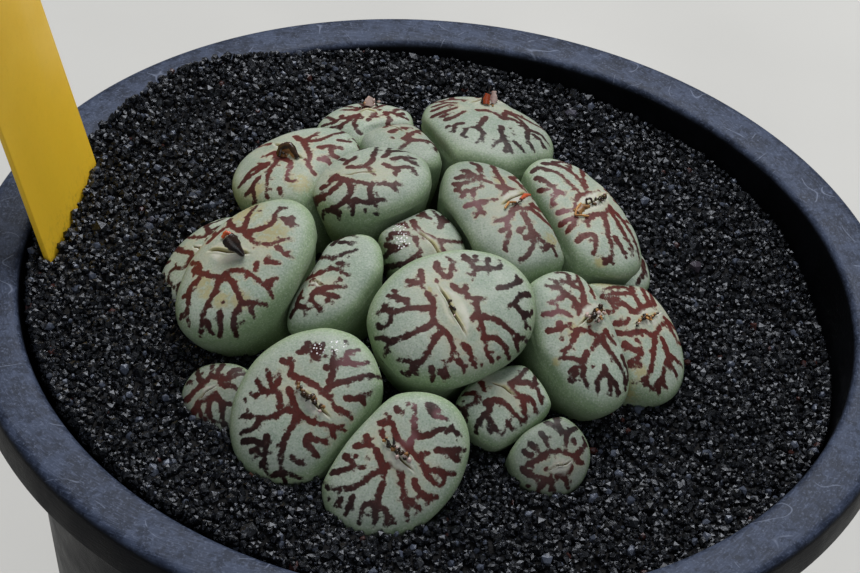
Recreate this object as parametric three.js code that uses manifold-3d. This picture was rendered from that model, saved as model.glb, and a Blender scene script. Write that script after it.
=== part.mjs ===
// Potted Conophytum wittebergense: a clump of living stones in a round plastic nursery pot.
// Millimetres, +Z up. The origin is the centre of the pot's base, on the surface it stands on.
import * as THREE from "three";
import { mergeVertices } from "three/addons/utils/BufferGeometryUtils.js";
import Module from "manifold-3d";

const wasm = await Module();
wasm.setup();

// Pot
const RIM_RADIUS = 50;
const RIM_BAND = 5.6;
const RIM_EDGE = 0.7;
const RIM_STEP = 1.1;
const SKIRT_DROP = 4.9;
const POT_HEIGHT = 85;
const WALL = 1.3;
const FOOT_RADIUS = 36.3;
const FOOT_EDGE = 1.5;
const FOOT_RING = 5.5;
const FLOOR_RAISED = 1.5;
const FLOOR_ROUND = 1.2;
const PAD_RADIUS = 9;
const DRAIN_HOLES = 6;
const DRAIN_RADIUS = 3.4;
const DRAIN_RING_RADIUS = 20.5;
const DRAIN_SEGMENTS = 12;
const POT_SEGMENTS = 44;
const BODY_TOP_RADIUS = RIM_RADIUS - RIM_BAND + 0.8;
const INNER_TOP_RADIUS = BODY_TOP_RADIUS - WALL;
const INNER_FOOT_RADIUS = FOOT_RADIUS - WALL;
const FLOOR_TOP = FLOOR_RAISED + WALL + 0.1;

// Clearance between touching pieces
const GAP = 0.3;

// Heads. Heights of the plant and the soil are measured from the rim's top face.
const ROOT_POINT = new THREE.Vector3(-1.5, 6, -50);
const HEAD_LENGTH = 1.9;
const SHORTEST_HEAD = 10;
const FACE_RISE = 0.37;
const FACE_EXPONENT = 2.3;
const FOOT_SHARE = 0.45;
const TAPER_EXPONENT = 1.5;
const CONTACT_SOFTNESS = 1.6;
const PRESSED_FACE = 0.5;
const PRESS_ROUNDS = 16;
const CLEFT_DEPTH = 0.6;
const CLEFT_SHARE = 0.17;
const CLEFT_LIP = 0.35;
const HEAD_SEGMENTS = 18;
const HOLE_SEGMENTS = 12;
const FACE_SHARES = [1, 0.965, 0.87, 0.68, 0.42, CLEFT_SHARE];
const SIDE_DROPS = [1, 0.72, 0.45, 0.2];

// Each head: its top's place and height, its width across and along, the bearing of its long form, and the
// bearing of its cleft with how far that lies off the top. A lean moves the point that the head grows from.
const HEADS = [
  { x: 1.6, y: -14.5, top: 9.7, across: 18, along: 14.8, turn: -56, cleft: [-58, -0.2, -0.7] },
  { x: -12.4, y: -25.5, top: 5.1, across: 17.2, along: 13.8, turn: -42, cleft: [-39, 0.9, 0] },
  { x: -2.5, y: -31.2, top: 3.5, across: 16.1, along: 12.2, turn: -46, cleft: [-30, 0.4, 0.7] },
  { x: -21, y: -21.7, top: 0.6, across: 9.3, along: 7.9, turn: 57, cleft: [33, -1, 0.6] },
  { x: -20.8, y: -8.5, top: 8.1, across: 18.6, along: 12, turn: -32, cleft: [-21, -0.7, 0.5] },
  { x: -24.9, y: -1.3, top: 1.9, across: 14.3, along: 10.9, turn: -38, cleft: [-44, -0.9, 0.5] },
  { x: -11.5, y: -8.3, top: 6.6, across: 13.4, along: 8.8, turn: -32, cleft: [-53, -1.4, -1], leanX: 8 },
  { x: -1.7, y: -1.3, top: 7.8, across: 11.4, along: 10.5, turn: -53, cleft: [-46, 0.2, -1.2] },
  { x: -8.7, y: 5.6, top: 9.9, across: 11.9, along: 13.5, turn: 16, cleft: [9, -0.9, -0.8] },
  { x: -16.9, y: 10.8, top: 7.2, across: 16.1, along: 14.6, turn: -36, cleft: [-49, -1, 0.5] },
  { x: -10, y: 21, top: 5.5, across: 13.5, along: 12, turn: 2, cleft: [3, 0, 0.7] },
  { x: -6.2, y: 15.1, top: 7.6, across: 10.9, along: 11.9, turn: -43, cleft: [-40, -0.4, 1.7] },
  { x: 3.6, y: 20.1, top: 7.7, across: 17.7, along: 15.4, turn: 24, cleft: [16, -0.2, 2.6] },
  { x: 6.1, y: 2.2, top: 9.5, across: 18.9, along: 11.9, turn: 34, cleft: [50, 0.8, 1.4] },
  { x: 14.8, y: 5.7, top: 8.1, across: 19.2, along: 11.2, turn: 32, cleft: [53, 0.5, 0.8] },
  { x: 19.1, y: 7.3, top: 0.5, across: 9.9, along: 9, turn: 38, cleft: [41, 0.4, 0] },
  { x: 15, y: -11.3, top: 5.5, across: 17.3, along: 10.2, turn: 30, cleft: [54, 0.9, 1.4] },
  { x: 21.1, y: -7, top: 2.9, across: 15.9, along: 11.4, turn: 36, cleft: [52, 0.9, 1.4] },
  { x: 7.7, y: -20.1, top: 3.1, across: 9.8, along: 10.3, turn: -39, cleft: [-22, -0.4, 0.8] },
  { x: 12.9, y: -24.5, top: 0.2, across: 8.4, along: 8.5, turn: 32, cleft: [32, 0.7, -1] },
];

// Dried flower remains that stand in the clefts: the head that bears them, and their size
const DRIED_FLOWERS = [
  { head: 2, length: 3, width: 1.2, height: 1.3 },
  { head: 3, length: 2.8, width: 1.2, height: 1.3 },
  { head: 5, length: 2.6, width: 1.9, height: 2.4 },
  { head: 10, length: 2.8, width: 1.6, height: 1.6 },
  { head: 11, length: 2.6, width: 1.4, height: 1.8 },
  { head: 13, length: 2.6, width: 1.6, height: 3.4 },
  { head: 14, length: 2.2, width: 1, height: 1.2 },
  { head: 15, length: 3.4, width: 1.4, height: 1.5 },
  { head: 17, length: 2.8, width: 1.3, height: 1.5 },
  { head: 18, length: 2.4, width: 0.9, height: 1.2 },
];
const SCRAP_SINK = 0.5;
const CRUMPLE = 0.3;
const SCRAP_SECTORS = 7;
const SCRAP_RINGS = 4;

// Rootstock: the crown's place, and the taproot's outline as shares of its radius and heights over the crown
const CROWN = new THREE.Vector3(-1.5, -2, -21);
const TAPROOT_RADIUS = 4;
const TAPROOT_OUTLINE = [[0.35, -20], [0.8, -9], [1, -2], [0.6, 1.5]];
const TAPROOT_SEGMENTS = 10;
const BRANCH_RADIUS = 1.6;
const BRANCH_BEND = 4;
const BRANCH_SIDES = 5;
const BRANCH_STEPS = 2;

// Soil
const SOIL_RINGS = 12;
const SOIL_SECTORS = 36;
const SOIL_EDGE = 2;
const SOIL_DROP = 6;
const GRIT_RELIEF = 0.45;

// Label: it stands in the soil by the left rim and leans out over it
const LABEL_WIDTH = 17;
const LABEL_LENGTH = 100;
const LABEL_BURIED = 30;
const LABEL_THICKNESS = 0.6;
const LABEL_POINT = 12;
const LABEL_TIP = 1.5;
const LABEL_CORNER = 1.5;
const LABEL_X = -40.6;
const LABEL_Y = 5.5;
const LABEL_BEARING = 82.5;
const LABEL_LEAN = 16;

const DEGREE = Math.PI / 180;
const group = new THREE.Group();
const plant = new THREE.Group();
plant.position.z = POT_HEIGHT;
group.add(plant);

function addMesh(parent, name, geometry, color, roughness) {
  const material = new THREE.MeshStandardMaterial({ color, roughness, metalness: 0 });
  const mesh = new THREE.Mesh(geometry, material);
  mesh.name = name;
  parent.add(mesh);
}

function numbered(name, number) {
  return name + "_" + String(number).padStart(2, "0");
}

// A closed geometry with only its shared corners kept
function welded(geometry) {
  const bare = geometry.clone();
  bare.deleteAttribute("normal");
  bare.deleteAttribute("uv");
  return mergeVertices(bare, 1e-4);
}

function toSolid(geometry) {
  const merged = welded(geometry);
  return new wasm.Manifold(
    new wasm.Mesh({
      numProp: 3,
      vertProperties: new Float32Array(merged.attributes.position.array),
      triVerts: new Uint32Array(merged.index.array),
    }),
  );
}

function toGeometry(solid) {
  const mesh = solid.getMesh();
  const geometry = new THREE.BufferGeometry();
  geometry.setAttribute("position", new THREE.BufferAttribute(mesh.vertProperties, mesh.numProp));
  geometry.setIndex(new THREE.BufferAttribute(mesh.triVerts, 1));
  geometry.computeVertexNormals();
  return geometry;
}

function lathe(points, segments) {
  const outline = points.map(([radius, height]) => new THREE.Vector2(radius, height));
  return new THREE.LatheGeometry(outline, segments).rotateX(Math.PI / 2);
}

// A repeatable random sequence between 0 and 1
function randomSequence(seed) {
  let state = seed;
  return () => {
    state = (state * 1664525 + 1013904223) % 4294967296;
    return state / 4294967296;
  };
}

// The pot is turned, with a raised floor between a foot ring and a middle pad, and drain holes in that floor
function makePot() {
  const plate = POT_HEIGHT - WALL;
  const profile = [
    [0, 0],
    [PAD_RADIUS, 0],
    [PAD_RADIUS + FLOOR_RAISED, FLOOR_RAISED],
    [FOOT_RADIUS - FOOT_RING - FLOOR_RAISED, FLOOR_RAISED],
    [FOOT_RADIUS - FOOT_RING, 0],
    [FOOT_RADIUS - FOOT_EDGE, 0],
    [FOOT_RADIUS, FOOT_EDGE],
    [BODY_TOP_RADIUS, plate],
    [RIM_RADIUS - WALL, plate],
    [RIM_RADIUS - WALL, POT_HEIGHT - SKIRT_DROP],
    [RIM_RADIUS - 0.1, POT_HEIGHT - SKIRT_DROP],
    [RIM_RADIUS, POT_HEIGHT - RIM_EDGE],
    [RIM_RADIUS - 0.2, POT_HEIGHT - 0.2],
    [RIM_RADIUS - RIM_EDGE, POT_HEIGHT],
    [RIM_RADIUS - RIM_BAND + RIM_EDGE, POT_HEIGHT],
    [RIM_RADIUS - RIM_BAND + 0.1, POT_HEIGHT - 0.25],
    [INNER_TOP_RADIUS, POT_HEIGHT - RIM_STEP],
    [INNER_FOOT_RADIUS, FLOOR_TOP + FLOOR_ROUND],
    [INNER_FOOT_RADIUS - FLOOR_ROUND, FLOOR_TOP],
    [PAD_RADIUS + FLOOR_RAISED + 0.3, FLOOR_TOP],
    [PAD_RADIUS + 0.3, WALL],
    [0, WALL],
  ];
  let pot = toSolid(lathe(profile, POT_SEGMENTS));
  for (let i = 0; i < DRAIN_HOLES; i += 1) {
    const angle = (i / DRAIN_HOLES) * 2 * Math.PI;
    const hole = new THREE.CylinderGeometry(DRAIN_RADIUS, DRAIN_RADIUS, 4 * FLOOR_TOP, DRAIN_SEGMENTS);
    hole.rotateX(Math.PI / 2);
    hole.translate(DRAIN_RING_RADIUS * Math.cos(angle), DRAIN_RING_RADIUS * Math.sin(angle), 0);
    pot = pot.subtract(toSolid(hole));
  }
  addMesh(group, "pot", toGeometry(pot), 0x23252b, 0.45);
}

function innerRadiusAt(height) {
  const share = (height - FLOOR_TOP) / (POT_HEIGHT - FLOOR_TOP);
  return INNER_FOOT_RADIUS + share * (INNER_TOP_RADIUS - INNER_FOOT_RADIUS);
}

// The direction that a bearing gives on the plane across an axis, and the direction beside it
function directionsAt(bearing, axis) {
  const level = new THREE.Vector3(Math.cos(bearing * DEGREE), Math.sin(bearing * DEGREE), 0);
  const beside = level.cross(axis).normalize();
  return [beside, beside.clone().cross(axis).normalize()];
}

// The place, axis and sizes of a head, with the directions of its oval and of its cleft
function headFrame(head) {
  const top = new THREE.Vector3(head.x, head.y, head.top);
  const aim = ROOT_POINT.clone();
  aim.x += head.leanX ?? 0;
  const axis = top.clone().sub(aim).normalize();
  const [cleftBearing, cleftX, cleftY] = head.cleft;
  const [across, along] = directionsAt(head.turn, axis);
  const [cleftAcross, cleftAlong] = directionsAt(cleftBearing, axis);
  const twist = Math.atan2(cleftAcross.dot(along), cleftAcross.dot(across));
  const radius = (head.across + head.along) / 4;
  const rise = FACE_RISE * radius;
  const length = Math.max(HEAD_LENGTH * radius, SHORTEST_HEAD);
  const middle = top.clone().addScaledVector(axis, -rise);
  const halfAcross = head.across / 2;
  const halfAlong = head.along / 2;
  const shift = new THREE.Vector3(cleftX, cleftY, 0);
  shift.addScaledVector(axis, -shift.dot(axis));
  return {
    top, middle, axis, across, along, cleftAcross, cleftAlong, twist,
    radius, rise, length, halfAcross, halfAlong, shift,
  };
}

const FRAMES = HEADS.map(headFrame);

// Depth below the top of a face point, by its share of the radius
function faceDepth(share, rise) {
  return rise * (1 - (1 - share ** FACE_EXPONENT) ** (1 / FACE_EXPONENT));
}

// Share of the full width on a head's side, by the share of the way from the face's edge to the foot
function taperAt(drop) {
  return 1 - (1 - FOOT_SHARE) * Math.min(drop, 1) ** TAPER_EXPONENT;
}

// The oval's radius along a direction given by its parts across and along it
function ovalRadius(frame, beside, along) {
  return 1 / Math.hypot(beside / frame.halfAcross, along / frame.halfAlong);
}

// About how far a point lies outside the free form of a head, and under 0 inside it
function distanceOutside(frame, point) {
  const offset = point.clone().sub(frame.middle);
  const height = offset.dot(frame.axis);
  const beside = offset.dot(frame.across);
  const along = offset.dot(frame.along);
  const out = Math.max(Math.hypot(beside, along), 1e-9);
  const oval = ovalRadius(frame, beside / out, along / out);
  if (height <= 0) return out - oval * taperAt(-height / (frame.length - frame.rise));
  const powers = (out / oval) ** FACE_EXPONENT + (height / frame.rise) ** FACE_EXPONENT;
  return Math.hypot(out, height) * (1 - powers ** (-1 / FACE_EXPONENT));
}

// The heads that come near a head
function neighboursOf(frame) {
  return FRAMES.filter((other) => {
    const away = other.middle.distanceTo(frame.middle);
    return other !== frame && away < 1.2 * (frame.radius + other.radius) + 1;
  });
}

// How far out along a direction a head's own skin and a neighbour's lie equally near, with the clearance kept
function meetingRadius(frame, other, center, direction, furthest) {
  let low = 0;
  let high = furthest;
  for (let i = 0; i < PRESS_ROUNDS; i += 1) {
    const tried = (low + high) / 2;
    const place = center.clone().addScaledVector(direction, tried);
    if (distanceOutside(frame, place) + GAP > distanceOutside(other, place)) {
      high = tried;
    } else {
      low = tried;
    }
  }
  return low;
}

function softMinimum(a, b, softness) {
  const near = Math.max(softness - Math.abs(a - b), 0) / softness;
  return Math.min(a, b) - (near * near * softness) / 4;
}

// The radius along a direction, kept half-way between a head's own skin and its neighbours' skins
function pressedRadius(frame, free, center, direction, neighbours) {
  let radius = free;
  for (const other of neighbours) {
    const meeting = meetingRadius(frame, other, center, direction, free + 2 * CONTACT_SOFTNESS);
    radius = softMinimum(radius, meeting, CONTACT_SOFTNESS);
  }
  return Math.max(radius, 0);
}

// Outline of a head from the middle of its foot to the top: share of the radius, and depth
function headProfile(frame) {
  const foot = SIDE_DROPS.map((drop) => [taperAt(drop), frame.rise + drop * (frame.length - frame.rise)]);
  const face = FACE_SHARES.map((share) => [share, faceDepth(share, frame.rise)]);
  return [[0, frame.length], ...foot, ...face, [0, 0]];
}

// The cleft is a short lens-shaped furrow between two low lips
function cleftDepth(share, angle) {
  if (share > CLEFT_SHARE) return 0;
  return share > 0 ? CLEFT_DEPTH * (Math.sin(angle) ** 2 - CLEFT_LIP) : CLEFT_DEPTH;
}

// A head as a turned form whose points are moved out to its oval, pressed outline. Where it makes the hole that
// it stands in, it is grown by the clearance and isn't pressed.
function headGeometry(frame, segments, grow) {
  const neighbours = grow > 0 ? [] : neighboursOf(frame);
  const profile = headProfile(frame);
  const outline = profile.map(([share, depth]) => new THREE.Vector2(share, -depth));
  const geometry = new THREE.LatheGeometry(outline, segments);
  const points = geometry.attributes.position;
  const spread = grow > 0 ? 1 / Math.cos(Math.PI / segments) : 1;
  for (let i = 0; i < points.count; i += 1) {
    const column = Math.floor(i / profile.length) % segments;
    const [share, depth] = profile[i % profile.length];
    const angle = Math.PI / 2 - (column / segments) * 2 * Math.PI;
    const turned = angle + frame.twist;
    const direction = frame.across.clone().multiplyScalar(Math.cos(turned));
    direction.addScaledVector(frame.along, Math.sin(turned));
    const oval = ovalRadius(frame, Math.cos(turned), Math.sin(turned));
    const onSide = depth > frame.rise;
    const center = frame.top.clone().addScaledVector(frame.axis, -depth);
    let free = share * oval;
    if (!onSide) {
      const edge = pressedRadius(frame, oval, frame.middle, direction, neighbours);
      free = share * (PRESSED_FACE * edge + (1 - PRESSED_FACE) * oval);
      center.addScaledVector(frame.axis, grow - cleftDepth(share, angle));
      center.addScaledVector(frame.shift, (1 - share) ** 2);
    } else if (depth >= frame.length) {
      center.addScaledVector(frame.axis, -grow);
    }
    const radius = share > 0 ? pressedRadius(frame, free, center, direction, neighbours) : 0;
    center.addScaledVector(direction, share > 0 ? (radius + grow) * spread : 0);
    points.setXYZ(i, center.x, center.y, center.z);
  }
  return welded(geometry);
}

function makeHeads() {
  FRAMES.forEach((frame, index) => {
    addMesh(plant, numbered("head", index + 1), headGeometry(frame, HEAD_SEGMENTS, 0), 0xaab99a, 0.4);
  });
}

// Crumpled scraps, each seated a clearance above the furrow that holds it
function makeDriedFlowers() {
  const random = randomSequence(5);
  for (const flower of DRIED_FLOWERS) {
    const frame = FRAMES[flower.head - 1];
    const scrap = welded(new THREE.SphereGeometry(1, SCRAP_SECTORS, SCRAP_RINGS));
    const points = scrap.attributes.position;
    for (let i = 0; i < points.count; i += 1) {
      const crumple = 1 + CRUMPLE * (random() - 0.5);
      points.setXYZ(i, points.getX(i) * crumple, points.getY(i) * crumple, points.getZ(i) * crumple);
    }
    scrap.scale(flower.width / 2, flower.height / 2, flower.length / 2);
    const place = frame.top.clone().add(frame.shift);
    place.addScaledVector(frame.axis, flower.height / 2 - SCRAP_SINK);
    const turned = new THREE.Matrix4().makeBasis(frame.cleftAcross, frame.axis, frame.cleftAlong);
    scrap.applyMatrix4(turned.setPosition(place));
    const seat = toSolid(headGeometry(frame, HEAD_SEGMENTS, GAP));
    const seated = toSolid(scrap).subtract(seat);
    addMesh(plant, numbered("dried_flower", flower.head), toGeometry(seated), 0x6d4526, 0.7);
  }
}

function regularSection(radius, sides) {
  const corners = [];
  for (let i = 0; i < sides; i += 1) {
    const angle = (i / sides) * 2 * Math.PI;
    corners.push(new THREE.Vector2(radius * Math.cos(angle), radius * Math.sin(angle)));
  }
  return new THREE.Shape(corners);
}

// A branch of the rootstock, from the crown to a clearance under the foot of a head
function branchSolid(frame, grow) {
  const end = frame.top.clone().addScaledVector(frame.axis, -frame.length - GAP + grow);
  const bend = frame.top.clone().addScaledVector(frame.axis, -frame.length - BRANCH_BEND);
  const path = new THREE.QuadraticBezierCurve3(CROWN, bend, end);
  const section = regularSection(BRANCH_RADIUS + grow, BRANCH_SIDES);
  return toSolid(new THREE.ExtrudeGeometry(section, { steps: BRANCH_STEPS, extrudePath: path }));
}

// Woody rootstock: a short taproot with a branch to the foot of every head
function rootstockSolid(grow) {
  const radius = TAPROOT_RADIUS + grow;
  const outline = TAPROOT_OUTLINE.map(([share, height]) => [share * radius, height]);
  const tip = [0, TAPROOT_OUTLINE.at(0)[1] - grow];
  const head = [0, TAPROOT_OUTLINE.at(-1)[1] + 0.5 + grow];
  outline[0][1] -= grow;
  let solid = toSolid(lathe([tip, ...outline, head], TAPROOT_SEGMENTS).translate(CROWN.x, CROWN.y, CROWN.z));
  for (const frame of FRAMES) solid = solid.add(branchSolid(frame, grow));
  return solid;
}

function makeRootstock() {
  addMesh(plant, "rootstock", toGeometry(rootstockSolid(0)), 0x5a4632, 0.8);
}

function labelGeometry(grow) {
  const half = LABEL_WIDTH / 2 + grow;
  const foot = -LABEL_BURIED - grow;
  const head = LABEL_LENGTH - LABEL_BURIED;
  const side = [
    [LABEL_TIP + grow, foot],
    [half, LABEL_POINT - LABEL_BURIED],
    [half, head - LABEL_CORNER],
    [half - LABEL_CORNER, head],
  ];
  const corners = side.map(([x, y]) => new THREE.Vector2(x, y));
  const mirrored = side.map(([x, y]) => new THREE.Vector2(-x, y)).reverse();
  const depth = LABEL_THICKNESS + 2 * grow;
  const shape = new THREE.Shape([...corners, ...mirrored]);
  const geometry = new THREE.ExtrudeGeometry(shape, { depth, bevelEnabled: false });
  geometry.translate(0, 0, -depth / 2);
  geometry.rotateX(Math.PI / 2 - LABEL_LEAN * DEGREE);
  geometry.rotateZ(LABEL_BEARING * DEGREE);
  geometry.translate(LABEL_X, LABEL_Y, 0);
  return geometry;
}

function makeLabel() {
  addMesh(plant, "plant_label", labelGeometry(0), 0xe3aa2c, 0.5);
}

// Height of the soil over the rim's top: a gentle fall to the right, with a heap at the back left, a dip at
// the right and a low bank at the front
function soilHeight(x, y) {
  const heap = 3.6 * Math.exp(-(((x + 34) / 18) ** 2) - ((y - 30) / 20) ** 2);
  const dip = 2.9 * Math.exp(-(((x - 44) / 16) ** 2) - ((y - 2) / 16) ** 2);
  const bank = 0.9 * Math.exp(-(((x + 4) / 24) ** 2) - ((y + 36) / 14) ** 2);
  return -2.6 - 0.05 * x + heap - dip + bank;
}

// The soil fills the pot: a turned plug whose top is raised to the soil's level, with coarse grit in relief
function makeSoil() {
  const random = randomSequence(11);
  const floor = FLOOR_TOP + GAP;
  const topRadius = innerRadiusAt(POT_HEIGHT - SOIL_DROP) - GAP;
  const profile = [
    [0, floor],
    [innerRadiusAt(floor) - GAP - SOIL_EDGE / 2, floor],
    [innerRadiusAt(floor + SOIL_EDGE) - GAP, floor + SOIL_EDGE],
  ];
  for (let ring = SOIL_RINGS; ring >= 0; ring -= 1) {
    profile.push([(ring / SOIL_RINGS) * topRadius, POT_HEIGHT]);
  }
  const plug = welded(lathe(profile, SOIL_SECTORS));
  const points = plug.attributes.position;
  for (let i = 0; i < points.count; i += 1) {
    if (points.getZ(i) > POT_HEIGHT / 2) {
      const relief = GRIT_RELIEF * (2 * random() - 1);
      points.setZ(i, POT_HEIGHT + soilHeight(points.getX(i), points.getY(i)) + relief);
    }
  }
  let soil = toSolid(plug);
  const holes = FRAMES.map((frame) => toSolid(headGeometry(frame, HOLE_SEGMENTS, GAP)));
  holes.push(rootstockSolid(GAP), toSolid(labelGeometry(GAP)));
  for (const hole of holes) soil = soil.subtract(hole.translate([0, 0, POT_HEIGHT]));
  addMesh(group, "soil", toGeometry(soil), 0x1b1c1e, 0.8);
}

makePot();
makeSoil();
makeRootstock();
makeHeads();
makeDriedFlowers();
makeLabel();

export default group;
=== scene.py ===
"""Looks of a potted Conophytum wittebergense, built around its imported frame.

The plant's shapes are worked out in millimetres with the top of the pot's rim at height 0, as the heads' list
gives them, and turned into metres in the frame as each mesh is made.
"""
import itertools
import math

import bmesh
import bpy
import numpy as np
from mathutils import Matrix, Vector
from mathutils.bvhtree import BVHTree


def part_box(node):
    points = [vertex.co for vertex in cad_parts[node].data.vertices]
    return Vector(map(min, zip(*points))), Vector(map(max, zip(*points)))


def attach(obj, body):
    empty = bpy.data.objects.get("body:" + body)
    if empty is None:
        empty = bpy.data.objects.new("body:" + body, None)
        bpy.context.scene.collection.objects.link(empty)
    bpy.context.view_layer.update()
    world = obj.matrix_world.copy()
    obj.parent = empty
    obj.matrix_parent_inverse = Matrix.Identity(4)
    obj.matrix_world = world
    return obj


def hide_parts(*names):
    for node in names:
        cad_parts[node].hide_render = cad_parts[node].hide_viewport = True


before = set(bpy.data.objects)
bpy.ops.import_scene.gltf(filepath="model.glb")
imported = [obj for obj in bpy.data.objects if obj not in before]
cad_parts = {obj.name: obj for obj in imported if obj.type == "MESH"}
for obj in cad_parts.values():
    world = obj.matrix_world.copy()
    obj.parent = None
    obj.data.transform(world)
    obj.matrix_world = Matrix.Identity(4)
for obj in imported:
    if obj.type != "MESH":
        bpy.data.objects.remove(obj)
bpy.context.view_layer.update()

MM = 0.001
RIM_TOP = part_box("pot")[1].z / MM
TINY = 1e-9

# What the random draws start from, for some things with the head's number added
LINES_SEED = 100
REMAINS_SEED = 200
GRIT_SEED = 7

# The photograph's frame in pixels, and the camera that took it: its distance from the rim's middle in
# millimetres, its height and roll in degrees, and where it aims beside that middle
PHOTO_WIDTH = 860
PHOTO_HEIGHT = 573
FOCAL_PIXELS = 2371.0
SENSOR_WIDTH = 36.0
CAMERA_DISTANCE = 252.06
CAMERA_HEIGHT_ANGLE = 40.366
CAMERA_ROLL = 5.941
CAMERA_AIM = np.array([-1.03, -0.98, 0.0])
CLIP_START = 0.01

# Heads: the top's place and height, the width across the cleft and along it, the cleft's bearing in
# degrees, and the lean, which is how far to the right of the others the head grows from
HEADS = {
    1: dict(x=1.6, y=-14.5, top=9.7, across=18.0, along=14.8, turn=-56),
    2: dict(x=-12.4, y=-25.5, top=5.1, across=17.2, along=13.8, turn=-42),
    3: dict(x=-2.5, y=-31.2, top=3.5, across=16.1, along=12.2, turn=-46),
    4: dict(x=-21.0, y=-21.7, top=0.6, across=9.3, along=7.9, turn=57),
    5: dict(x=-20.8, y=-8.5, top=8.1, across=18.6, along=12.0, turn=-32),
    6: dict(x=-24.9, y=-1.3, top=1.9, across=14.3, along=10.9, turn=-38),
    7: dict(x=-11.5, y=-8.3, top=6.6, across=13.4, along=8.8, turn=-32, lean=8),
    8: dict(x=-1.7, y=-1.3, top=7.8, across=11.4, along=10.5, turn=-53),
    9: dict(x=-8.7, y=5.6, top=9.9, across=11.9, along=13.5, turn=16),
    10: dict(x=-16.9, y=10.8, top=7.2, across=16.1, along=14.6, turn=-36),
    11: dict(x=-10.0, y=21.0, top=5.5, across=13.5, along=12.0, turn=2),
    12: dict(x=-6.2, y=15.1, top=7.6, across=10.9, along=11.9, turn=-43),
    13: dict(x=3.6, y=20.1, top=7.7, across=17.7, along=15.4, turn=24),
    14: dict(x=6.1, y=2.2, top=9.5, across=18.9, along=11.9, turn=34),
    15: dict(x=14.8, y=5.7, top=8.1, across=19.2, along=11.2, turn=32),
    16: dict(x=19.1, y=7.3, top=0.5, across=9.9, along=9.0, turn=38),
    17: dict(x=15.0, y=-11.3, top=5.5, across=17.3, along=10.2, turn=30),
    18: dict(x=21.1, y=-7.0, top=2.9, across=15.9, along=11.4, turn=36),
    19: dict(x=7.7, y=-20.1, top=3.1, across=9.8, along=10.3, turn=-39),
    20: dict(x=12.9, y=-24.5, top=0.2, across=8.4, along=8.5, turn=32),
}

# The place that the heads grow from, and a head's length and the rise of its face as shares of its radius
ROOT = np.array([-1.5, 6.0, -50.0])
HEAD_LENGTH = 1.9
SHORTEST_HEAD = 10.0
FACE_RISE = 0.37
FACE_EXPONENT = 2.3
FOOT_SHARE = 0.45
TAPER_EXPONENT = 1.5

# How the heads press on each other: the gap between two skins, how softly they turn into the contact, and
# how much of it the face follows. Neighbours are nearer than a share of both radii and some more.
GAP = 0.3
CONTACT_SOFTNESS = 1.6
PRESSED_FACE = 0.5
PRESS_ROUNDS = 14
NEIGHBOUR_SHARE = 1.2
NEIGHBOUR_MORE = 1.0

# The skin's mesh: its step, how much closer its lines lie at the cleft, the share of the way down at each
# ring of the side, and the grid of the rough skin on which the clefts are found first
MESH_STEP = 0.19
GRID_CROWDING = 1.35
GRID_MARGIN = 1.12
ROUGH_GRID = 24
FACE_SAMPLES = 400
SIDE_DROPS = (0.02, 0.05, 0.09, 0.14, 0.2, 0.27, 0.35, 0.44, 0.55, 0.68, 0.84, 1.0)

# The skin's bumps: their height, their size and what is added to the head's number as their seed
SKIN_BUMPS = ((0.13, 7.0, 0), (0.035, 2.0, 50))
WAVE_COUNT = 7
WAVE_LENGTHS = (1.4, 2.8)

# Clefts: the two ends in pixels of the photograph, half the width of the pale lens round the slit, by what
# share it is wider on one side, half the width of the slit, its depth, and the height of its lips
CLEFTS = {
    1: dict(ends="437,283 467,340", lens=1.25, skew=0.35, slit=0.055, depth=0.3, lip=0.2),
    2: dict(ends="294,383 332,421", lens=1.05, skew=0.0, slit=0.06, depth=0.25, lip=0.15),
    3: dict(ends="383,440 415,474", lens=1.1, skew=-0.1, slit=0.06, depth=0.25, lip=0.15),
    4: dict(ends="197,401 219,383", lens=0.6, skew=0.0, slit=0.04, depth=0.15, lip=0.24),
    5: dict(ends="206,251 252,254", lens=1.6, skew=-0.05, slit=0.09, depth=0.35, lip=0.2),
    6: dict(ends="", lens=0.6, skew=0.0, slit=0.06, depth=0.2, lip=0.08),
    7: dict(ends="", lens=0.6, skew=0.0, slit=0.06, depth=0.2, lip=0.08),
    8: dict(ends="416,228 446,268", lens=0.6, skew=0.3, slit=0.05, depth=0.2, lip=0.1),
    9: dict(ends="340,176 381,171", lens=0.4, skew=0.0, slit=0.05, depth=0.15, lip=0.06),
    10: dict(ends="272,143 305,161", lens=0.8, skew=0.0, slit=0.08, depth=0.3, lip=0.1),
    11: dict(ends="", lens=0.9, skew=0.0, slit=0.1, depth=0.3, lip=0.45),
    12: dict(ends="386,125 406,132", lens=0.4, skew=0.0, slit=0.05, depth=0.15, lip=0.05),
    13: dict(ends="466,103 514,101", lens=0.9, skew=0.0, slit=0.1, depth=0.3, lip=0.45),
    14: dict(ends="500,206 532,193", lens=1.1, skew=0.0, slit=0.06, depth=0.2, lip=0.1),
    15: dict(ends="574,216 610,195", lens=1.25, skew=0.0, slit=0.05, depth=0.2, lip=0.15),
    16: dict(ends="", lens=0.4, skew=0.0, slit=0.05, depth=0.15, lip=0.05),
    17: dict(ends="578,325 608,306", lens=1.2, skew=0.0, slit=0.05, depth=0.2, lip=0.15),
    18: dict(ends="632,325 663,312", lens=1.05, skew=0.0, slit=0.05, depth=0.2, lip=0.12),
    19: dict(ends="488,381 518,397", lens=0.6, skew=0.0, slit=0.05, depth=0.15, lip=0.05),
    20: dict(ends="545,471 574,461", lens=0.95, skew=-0.1, slit=0.04, depth=0.15, lip=0.25),
}

# Clefts that the photograph hides: where they lie beside the top, and half their length by the radius
HIDDEN_CLEFTS = {6: (-1.0, 0.5), 7: (-1.4, -1.0), 11: (0.0, 0.8), 16: (0.5, 0.0)}
HIDDEN_CLEFT_HALF = 0.2

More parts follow.
